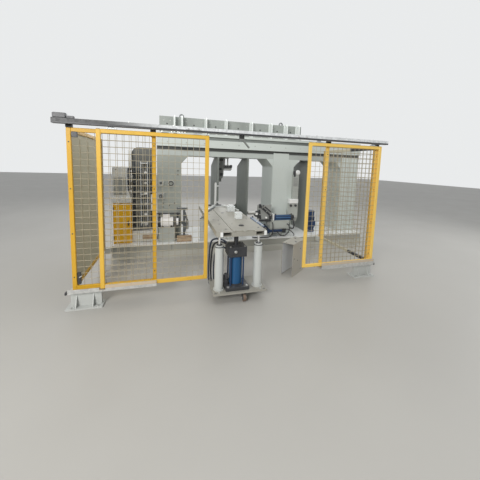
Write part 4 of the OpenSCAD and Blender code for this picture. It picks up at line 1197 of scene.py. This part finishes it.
def block_fittings():
    """Cover and end plate of the block, the valve block's pale head, its knobs, and the duct's bands."""
    low = Vector((middle_column[0].x + GUSSET - 0.100, FRONT - 0.230, 0.424))
    high = low + Vector((0.415, 0.230, 0.170))
    f = Form()
    f.paint = 2
    f.box((low.x + 0.020, low.y - 0.005, low.z + 0.014), (high.x - 0.090, low.y, high.z - 0.014), 0.002)
    f.paint = 3
    f.box((low.x + 0.063, low.y - 0.002, high.z), (low.x + 0.089, low.y + 0.107, high.z + 0.128), 0.003)
    f.paint = 1
    for x, z in product((low.x + 0.036, high.x - 0.106), (low.z + 0.030, high.z - 0.030)):
        f.bolt((x, low.y - 0.005, z), -Y, 0.008, False, True)
    for x in (high.x - 0.066, high.x - 0.026):
        f.bolt((x, low.y, high.z - 0.035), -Y, 0.010)
    valve = Vector((middle_column[1].x - GUSSET - 0.095, FRONT - 0.090, 0.610))
    for dx, z in product((0.018, 0.172), (0.640, 0.810)):
        f.bolt((valve.x + dx, valve.y, z), -Y, 0.008, False, True)
    f.paint = 0
    for dx in (0.022, 0.128):
        f.lathe((valve.x + dx, valve.y, 0.866), -Y, [(0, 0.020), (0.006, 0.024), (0.032, 0.024),
                                                     (0.038, 0.018)], 24)
    f.box((valve.x + 0.072, valve.y + 0.006, 1.455), (valve.x + 0.112, valve.y + 0.060, 1.575), 0.006)
    f.box((high.x - 0.020, low.y + 0.02, low.z + 0.04), (high.x + 0.030, low.y + 0.09, low.z + 0.10), 0.006)
    f.paint = 3
    f.box((valve.x - 0.010, valve.y - 0.014, 0.905), (valve.x + 0.192, FRONT, 0.997), 0.008)
    f.lathe((valve.x + 0.158, valve.y + 0.045, 1.545), -Y,
            [(0, 0.040), (0.012, 0.048), (0.040, 0.048), (0.052, 0.030)], 28)
    f.box((valve.x + 0.140, valve.y + 0.030, 1.495), (valve.x + 0.176, FRONT, 1.545), 0.004)
    f.paint = 2
    f.slab([(valve.x + 0.040, valve.y + 0.006, 0.612), (valve.x + 0.192, valve.y + 0.006, 0.612),
            (valve.x + 0.168, valve.y + 0.006, 0.535), (valve.x + 0.090, valve.y + 0.006, 0.535)],
            (0, 0.070, 0))
    f.slab([(valve.x, valve.y, 0.640), (valve.x, valve.y, 0.800), (valve.x - 0.022, valve.y, 0.760),
            (valve.x - 0.022, valve.y, 0.680)], (0, 0.080, 0))
    duct = valve + Vector((0.070, 0.020, 0))
    for z in evenly(1.005, 1.205, 5):
        f.box((duct.x - 0.003, duct.y - 0.004, z), (duct.x + 0.123, duct.y, z + 0.034), 0.002)
    f.paint = 4
    f.box((duct.x - 0.002, duct.y - 0.006, 1.262), (duct.x + 0.100, duct.y, 1.440), 0.003)
    f.box((duct.x + 0.020, duct.y - 0.014, 1.300), (duct.x + 0.080, duct.y, 1.340), 0.004)
    f.piece("block_fittings", [black_paint, bolt_steel, block_paint, plate_paint, jaw_paint])


block_fittings()


def side_motor_fittings():
    low, high = corners("side_motor")
    x, y = (low.x + high.x) / 2, (low.y + high.y) / 2
    radius = 0.095
    f = Form()
    fins(f, Vector((x, y, low.z + 0.07)), (X, Y, Z), 24, radius, 0.009, 0.002, 0.25)
    f.lathe((x, y, high.z), Z, [(0, radius + 0.004), (0.030, radius + 0.004), (0.045, radius - 0.02)], 36)
    f.box((x - 0.06, y - radius - 0.06, low.z + 0.13), (x + 0.06, y - radius, low.z + 0.25), 0.006)
    f.paint = 1
    for place in circle(Vector((x, y, low.z + 0.040)), X, Y, 0.101, 4, math.pi / 4):
        f.bolt(place, Z, 0.009)
    f.piece("side_motor_fittings", [navy_paint, bolt_steel])


side_motor_fittings()


# Lift table

table = corners("table_top")
base = corners("base_plate")
sleeves = corners("guide_sleeves")
barrel = corners("lift_barrel")
TABLE_X = (sleeves[0].x + sleeves[1].x) / 2
GUIDE_REACH = 0.250
GUIDES_X = (TABLE_X - GUIDE_REACH, TABLE_X + GUIDE_REACH)
SLEEVE_RADIUS = 0.054
FRONT_GUIDE_Y = sleeves[0].y + SLEEVE_RADIUS
BACK_GUIDE_Y = sleeves[1].y - SLEEVE_RADIUS
CYLINDER = Vector(((barrel[0].x + barrel[1].x) / 2, (barrel[0].y + barrel[1].y) / 2, 0))


def table_fittings():
    """Tapped holes, a raised ring, guide bars, end brackets and the milky work blocks on the table."""
    top = table[1].z
    f = Form()
    for x, y, radius in ((-0.373, -1.952, 0.012), (-0.346, -2.217, 0.012), (-0.408, -1.691, 0.011),
                         (-0.343, -1.719, 0.011),
                         (0.067, -2.196, 0.013), (-0.188, -1.217, 0.024), (0.060, -1.700, 0.011),
                         (0.050, -1.330, 0.012),
                         (-0.405, -1.300, 0.011)):
        f.lathe((x, y, top), Z, [(0, radius), (0.002, radius), (0.003, radius - 0.003)], 20)
    f.slab([(-0.402, -1.100, top), (-0.380, -1.100, top), (-0.150, -0.560, top), (-0.175, -0.560, top)],
           (0, 0, 0.006))
    f.paint = 1
    for x, y in ((-0.402, -1.010), (-0.215, -0.595), (0.085, -1.010), (-0.070, -0.595)):
        f.bolt((x, y, top + 0.026), Z, 0.009, False, True)
    for x, y in ((-0.405, -2.300), (0.085, -2.300)):
        f.bolt((x, y, top), Z, 0.010, True, True)
    f.paint = 2
    f.ring((-0.117, -2.073, top), Z, 0.034, 0.022, 0.008)
    f.ring((-0.117, -2.073, top), Z, 0.014, 0.008, 0.010)
    f.box((-0.330, -0.520, top), (-0.020, -0.470, top + 0.020), 0.004)
    f.paint = 3
    f.slab([(-0.432, -1.100, top), (-0.402, -1.100, top), (-0.175, -0.560, top), (-0.235, -0.560, top)],
           (0, 0, 0.026))
    f.slab([(0.080, -1.100, top), (0.112, -1.100, top), (-0.030, -0.560, top), (-0.085, -0.560, top)],
           (0, 0, 0.026))
    f.box((-0.260, -0.660, top), (-0.045, -0.600, top + 0.014), 0.003)
    f.paint = 4
    for x in (table[0].x + 0.042, table[1].x - 0.032):
        f.box((x, table[0].y - 0.007, table[0].z + 0.003), (x + 0.032, table[0].y, table[1].z - 0.003), 0.002)
    f.piece("table_fittings", [dark_iron, bolt_steel, black_paint, sleeve_paint, plate_paint],
            "lift_table")

    blocks = Form()
    blocks.box((-0.088, -1.144, top), (0.037, -1.050, top + 0.090), 0.006)
    blocks.box((-0.070, -1.130, top + 0.088), (0.010, -1.065, top + 0.108), 0.006)
    blocks.box((-0.098, -1.709, top), (0.000, -1.625, top + 0.096), 0.006)
    blocks.piece("work_blocks", [clear_block], "lift_table")


table_fittings()


def guide_fittings():
    """Seal collars, foot flanges and bolts on the four sleeves, and the rods' top flanges."""
    f = Form()
    g = Form()
    for x in GUIDES_X:
        for y, foot in ((FRONT_GUIDE_Y, base[1].z), (BACK_GUIDE_Y, bed_plate[1].z)):
            top = sleeves[1].z
            f.paint = 0
            f.ring((x, y, top - 0.024), Z, 0.055, 0.049, 0.010)
            f.ring((x, y, top), Z, 0.032, 0.0165, 0.012)
            f.paint = 1
            f.ring((x, y, foot), Z, 0.068, 0.0535, 0.012)
            f.paint = 2
            for place in circle(Vector((x, y, foot + 0.012)), X, Y, 0.061, 4, math.pi / 4):
                f.bolt(place, Z, 0.006, False, True)
            rod_top = Vector((x, y, table[0].z - 0.014))
            g.ring(rod_top, Z, 0.034, 0.0145, 0.014)
            for place in circle(rod_top, X, Y, 0.025, 3):
                g.bolt(place, -Z, 0.005, False, True)
    f.piece("sleeve_fittings", [black_paint, sleeve_paint, bolt_steel])
    g.piece("rod_flanges", [bolt_steel], "lift_table")


guide_fittings()


def lift_cylinder_fittings():
    """Black foot and head castings with bolts, ports and tie rods around the blue barrel."""
    x, y = CYLINDER.x, CYLINDER.y
    foot_top, head = base[1].z + 0.042, 0.545
    f = Form()
    foot_half, head_half = 0.1475, 0.1125
    f.box((x - foot_half, y - foot_half, base[1].z), (x + foot_half, y + foot_half, foot_top + 0.002), 0.002)
    f.box((x - head_half, y - head_half, head - 0.0025), (x + head_half, y + head_half, head + 0.1215), 0.002)
    f.box((x - 0.080, y - 0.115, head + 0.03), (x + 0.02, y - 0.108, head + 0.10), 0.004)
    f.ring((x, y, head + 0.120), Z, 0.070, 0.0285, 0.005)
    f.ring((x, y, foot_top), Z, 0.092, 0.082, 0.016)
    f.box((x - 0.160, y - 0.05, foot_top - 0.010), (x - 0.100, y + 0.03, foot_top + 0.060), 0.008)
    f.rod((x - 0.155, y - 0.01, foot_top + 0.05), (x - 0.155, y - 0.01, foot_top + 0.12), 0.018, 16)
    f.box((x - 0.150, y - 0.07, foot_top + 0.085), (x - 0.105, y - 0.02, foot_top + 0.150), 0.006)
    f.paint = 1
    for a, b in product((-0.118, 0.118), repeat=2):
        f.bolt((x + a, y + b, foot_top), Z, 0.018)
    for a, b in product((-0.090, 0.090), repeat=2):
        f.bolt((x + a, y + b, head + 0.121), Z, 0.011)
    f.lathe((x - 0.03, y - 0.115, head + 0.066), -Y, [(0, 0.018), (0.010, 0.018), (0.013, 0.012)], 20)
    f.paint = 2
    for a, b in product((-0.080, 0.080), repeat=2):
        f.rod((x + a, y + b, foot_top), (x + a, y + b, head), 0.010, 12)
    f.piece("lift_cylinder_fittings", [black_paint, bolt_steel, navy_paint])

    eye = Form()
    top = corners("lift_rod")[1].z
    for side in (-1, 1):
        y0, y1 = sorted((y + side * 0.045, y + side * 0.052))
        eye.box((x - 0.042, y0, top - 0.058), (x + 0.042, y1, top - 0.002), 0.003)
    eye.box((x - 0.075, y - 0.060, top - 0.010), (x + 0.075, y + 0.060, top), 0.002)
    eye.paint = 1
    eye.bolt((x, y - 0.052, top - 0.032), -Y, 0.020)
    for a in (-0.062, 0.062):
        eye.bolt((x + a, y - 0.045, top - 0.010), -Z, 0.009, False, True)
    eye.piece("lift_eye_fittings", [black_paint, bolt_steel], "lift_table")


lift_cylinder_fittings()


def base_fittings():
    f = Form()
    top = base[1].z
    for x in (base[0].x + 0.030, base[1].x - 0.030):
        for y in (base[0].y + 0.030, base[1].y - 0.030):
            f.ring((x, y, top), Z, 0.014, 0.0085, 0.002, 20)
    f.paint = 1
    for x in (base[0].x + 0.075, base[1].x - 0.075):
        f.bolt((x, base[0].y + 0.035, top), Z, 0.012, True, True)
    f.piece("base_fittings", [dark_iron, bolt_steel])


base_fittings()


def caster_fittings():
    centre = sum(corners("caster_wheel"), Vector()) / 2
    f = Form()
    for side in (-1, 1):
        f.bolt((centre.x + side * 0.0275, centre.y, centre.z), X * side, 0.010)
    f.piece("caster_nuts", [bolt_steel], "caster_swivel_fork")
    g = Form()
    for side in (-1, 1):
        g.ring((centre.x + side * 0.017, centre.y, centre.z), X * side, 0.030, 0.007, 0.002, 28)
    g.piece("wheel_hub", [dark_iron], "caster_roller")


caster_fittings()


# Sills, feet and the folded cover

def sill_fittings():
    """Bolts through the sills, gussets on the feet and the floor anchors."""
    low, high = corners("sills")
    feet_y, feet_top = -1.933, 0.015
    f = Form()
    for side in (-1, 1):
        outer = side * 2.085
        for reach in (0.05, 0.32):
            for dy in (-0.065, 0.065):
                f.paint = 1
                f.bolt((outer - side * reach, feet_y + dy, feet_top), Z, 0.014)
        f.paint = 0
        for reach in (0.10, 0.27):
            x = outer - side * reach
            for dy in (-1, 1):
                f.slab([(x - 0.004, feet_y + dy * 0.020, feet_top),
                        (x - 0.004, feet_y + dy * 0.080, feet_top),
                        (x - 0.004, feet_y + dy * 0.020, 0.150)], (0.008, 0, 0))
        f.paint = 1
        for x in evenly(side * 1.20, side * 1.95, 4):
            f.bolt((x, -1.9585, 0.205), Z, 0.006, False, True)
        f.paint = 2
        f.box((min(outer, outer - side * 0.02), low.y + 0.01, low.z - 0.012),
              (max(outer, outer - side * 0.02), low.y + 0.05, low.z + 0.02), 0.003)
    # Tan strips along the upper part of the sill flanges' fronts.
    f.paint = 3
    for x0, x1, top in ((-1.675, -1.136, 0.260), (1.136, 2.045, 0.282)):
        f.box((x0, low.y - 0.0015, top - 0.034), (x1, low.y, top), 0.0005)
    f.piece("sill_fittings", [sleeve_paint, bolt_steel, black_paint, tan_flange_strip])


sill_fittings()


def cover_fittings():
    """Hems, slots, round holes and screws of the sheet cover, which is open at its left end."""
    corner = Vector((0.788, -1.781, 0.0))
    turn = Matrix.Rotation(math.radians(36.8), 3, "Z")
    along, across = turn @ X, turn @ Y
    wide, deep, high = 0.417, 0.192, 0.510
    trim = 0.0012
    f = Form()

    def plate(centre, first, second, size_a, size_b, normal, thick):
        a, b = first * (size_a / 2), second * (size_b / 2)
        f.slab([centre - a - b, centre + a - b, centre + a + b, centre - a + b], normal * thick)

    slant = (along * 0.7 + across * 0.7).normalized()
    for place, back in ((0.165, 0.045), (0.330, 0.140)):
        plate(corner + along * place + across * back + Z * high, slant, slant.cross(Z), 0.055, 0.022, Z, trim)
    f.lathe(corner + along * 0.016 + across * 0.130 + Z * high, Z, [(0, 0.009), (trim, 0.009)], 16)
    for place, z in ((0.255, 0.389), (0.162, 0.222), (0.280, 0.054), (0.051, 0.275)):
        f.lathe(corner + along * place + Z * z, -across, [(0, 0.010), (trim, 0.010)], 16)
    for place, z in ((0.12, 0.42), (0.30, 0.42), (0.21, 0.10)):
        f.lathe(corner + along * place + across * deep + Z * z, across, [(0, 0.010), (trim, 0.010)], 16)
    # A pale sheet on the inner face of the back wall: painted light coming in through the open left end.
    f.paint = 3
    plate(corner + along * (wide / 2) + across * (deep - 0.0045) + Z * (high / 2 - 0.004), along, Z,
          wide - 0.012, high - 0.020, -across, 0.001)
    f.paint = 1
    for place, z in product((0.030, wide - 0.030), (0.030, 0.480)):
        f.bolt(corner + along * place + Z * z, -across, 0.006, False, True)
    f.paint = 2
    for reach in (0.0, deep - 0.006):
        foot = corner + across * reach - along * 0.004
        f.slab([foot, foot + along * 0.004, foot + along * 0.004 + across * 0.006, foot + across * 0.006],
               Z * high)
    foot = corner - along * 0.004 + Z * (high - 0.006)
    f.slab([foot, foot + along * 0.004, foot + along * 0.004 + across * deep, foot + across * deep],
           Z * 0.006)
    f.piece("cover_fittings", [black_paint, bolt_steel, sheet_steel, lit_wall_paint])


cover_fittings()


# Hoses: each one leaves a fitting and goes back into another

def hose(name, points, diameter, finish=black_rubber):
    path = curve_points(points, 10)
    f = Form()
    f.tube(path, diameter / 2, 10)
    made = f.piece(name, [finish], "root")
    length = sum((b - a).length for a, b in zip(path, path[1:]))


# At the cross cylinders
hose("block_hose", [(0.955, -0.536, 0.560), (0.953, -0.572, 0.510), (0.948, -0.590, 0.400),
                    (0.925, -0.590, 0.320),
                    (0.870, -0.580, 0.280), (0.760, -0.560, 0.272), (0.640, -0.545, 0.271),
                    (0.560, -0.500, 0.270)],
     0.020)
hose("loop_hose", [(1.070, -0.530, 0.366), (1.080, -0.565, 0.345), (1.130, -0.585, 0.302),
                   (1.200, -0.588, 0.298),
                   (1.275, -0.588, 0.345), (1.305, -0.586, 0.425), (1.295, -0.575, 0.495),
                   (1.275, -0.534, 0.520)],
     0.020)
hose("short_hose", [(1.245, -0.520, 0.405), (1.300, -0.570, 0.410), (1.360, -0.575, 0.368),
                    (1.420, -0.560, 0.310),
                    (1.440, -0.530, 0.268)], 0.018)
hose("tip_hose", [(1.392, -0.520, 0.610), (1.396, -0.560, 0.580), (1.410, -0.572, 0.500),
                  (1.400, -0.560, 0.430),
                  (1.360, -0.510, 0.425), (1.322, -0.480, 0.450)], 0.024)

# Behind the lift cylinder
hose("lift_hose_a", [(-0.235, -1.964, 0.600), (-0.245, -1.900, 0.630), (-0.330, -1.770, 0.655),
                     (-0.430, -1.690, 0.600),
                     (-0.458, -1.684, 0.350), (-0.462, -1.690, 0.130), (-0.460, -1.750, 0.040),
                     (-0.455, -1.820, 0.060),
                     (-0.455, -1.852, 0.118)], 0.024, blue_rubber)
hose("lift_hose_b", [(-0.205, -1.964, 0.560), (-0.215, -1.880, 0.585), (-0.300, -1.730, 0.600),
                     (-0.395, -1.665, 0.540),
                     (-0.425, -1.660, 0.320), (-0.428, -1.665, 0.120), (-0.425, -1.740, 0.035),
                     (-0.420, -1.815, 0.058),
                     (-0.420, -1.852, 0.118)], 0.024)
hose("lift_hose_c", [(-0.240, -1.964, 0.540), (-0.255, -1.880, 0.550), (-0.315, -1.760, 0.540),
                     (-0.370, -1.700, 0.460),
                     (-0.392, -1.695, 0.280), (-0.394, -1.700, 0.120), (-0.390, -1.760, 0.045),
                     (-0.386, -1.820, 0.064),
                     (-0.386, -1.852, 0.118)], 0.020, blue_rubber)

# At the tool head
hose("head_hose", [(-0.044, -0.004, 1.530), (-0.052, -0.045, 1.500), (-0.066, -0.070, 1.430),
                   (-0.060, -0.072, 1.360),
                   (-0.066, -0.050, 1.300), (-0.083, -0.030, 1.270)], 0.012)


# Camera, lights and stage

def photo_camera():
    """A camera at the photograph's place, fitted to the straight edges of guard, track, table and bed."""
    yaw, pitch, roll = (math.radians(a) for a in (16.725, 6.278, 1.870))
    focal, middle_u, middle_v, size = 254.30, 246.12, 192.90, 480.0
    ahead = Vector((math.sin(yaw) * math.cos(pitch), math.cos(yaw) * math.cos(pitch), -math.sin(pitch)))
    level = Vector((math.cos(yaw), -math.sin(yaw), 0))
    upright = level.cross(ahead)
    right = level * math.cos(roll) + upright * math.sin(roll)
    up = upright * math.cos(roll) - level * math.sin(roll)
    data = bpy.data.cameras.new("photo_camera")
    data.sensor_width = 36.0
    data.lens = focal / size * data.sensor_width
    data.shift_x = -(middle_u - size / 2) / size
    data.shift_y = (middle_v - size / 2) / size
    camera = bpy.data.objects.new("photo_camera", data)
    camera.matrix_world = Matrix.Translation((-0.975, -5.095, 1.667)) @ Matrix(
        [(*row,) for row in zip(right, up, -ahead)]).to_4x4()
    bpy.context.scene.collection.objects.link(camera)
    bpy.context.scene.camera = camera


photo_camera()


def softbox(name, place, aim, size, power, tint):
    data = bpy.data.lights.new(name, "AREA")
    data.shape = "RECTANGLE"
    data.size, data.size_y = size
    data.energy = power
    data.color = tint
    lamp = bpy.data.objects.new(name, data)
    lamp.location = place
    lamp.rotation_euler = (Vector(aim) - Vector(place)).to_track_quat("-Z", "Y").to_euler()
    bpy.context.scene.collection.objects.link(lamp)


softbox("overhead", (0.4, -1.2, 6.2), (0.4, -0.8, 0), (9.0, 7.0), 200, (1.0, 0.995, 0.98))
softbox("key", (-4.8, -8.1, 4.2), (0.2, -0.8, 0.9), (3.0, 2.5), 540, (1.0, 0.99, 0.975))
softbox("window_side", (6.5, -2.5, 3.5), (0.5, -0.5, 1.0), (4.0, 4.0), 90, (0.98, 0.99, 1.0))
softbox("back_light", (0.0, 6.0, 4.0), (0.0, 0.0, 1.2), (6.0, 3.0), 120, (1.0, 1.0, 1.0))


def stage_light():
    """An even world, shown pale to the camera and to glossy surfaces."""
    world = bpy.data.worlds.new("studio")
    bpy.context.scene.world = world
    world.use_nodes = True
    nodes, links = world.node_tree.nodes, world.node_tree.links
    lit = nodes["Background"]
    lit.inputs["Color"].default_value = (0.93, 0.95, 0.97, 1)
    lit.inputs["Strength"].default_value = 0.36
    seen = nodes.new("ShaderNodeBackground")
    seen.inputs["Color"].default_value = (0.86, 0.875, 0.88, 1)
    seen.inputs["Strength"].default_value = 0.95
    rays = nodes.new("ShaderNodeLightPath")
    either = nodes.new("ShaderNodeMath")
    either.operation = "MAXIMUM"
    links.new(rays.outputs["Is Camera Ray"], either.inputs[0])
    links.new(rays.outputs["Is Glossy Ray"], either.inputs[1])
    both = nodes.new("ShaderNodeMath")
    both.operation = "MAXIMUM"
    links.new(either.outputs[0], both.inputs[0])
    links.new(rays.outputs["Is Transmission Ray"], both.inputs[1])
    mix = nodes.new("ShaderNodeMixShader")
    links.new(both.outputs[0], mix.inputs[0])
    links.new(lit.outputs[0], mix.inputs[1])
    links.new(seen.outputs[0], mix.inputs[2])
    links.new(mix.outputs[0], nodes["World Output"].inputs[0])


stage_light()


def floor():
    f = Finish("hall_floor")
    pale = f.blend(f.noise(0.5, 5.0), (0.37, 0.36, 0.335), (0.46, 0.45, 0.42))
    material = f.done(pale, f.noise(2.0, 4.0) * 0.2 + 0.35)
    mesh = bpy.data.meshes.new("floor")
    half = 30.0
    mesh.from_pydata([(-half, -half, 0), (half, -half, 0), (half, half, 0), (-half, half, 0)], [],
                     [(0, 1, 2, 3)])
    mesh.materials.append(material)
    plane = bpy.data.objects.new("floor", mesh)
    bpy.context.scene.collection.objects.link(plane)


floor()

bpy.context.scene.view_settings.view_transform = "Standard"
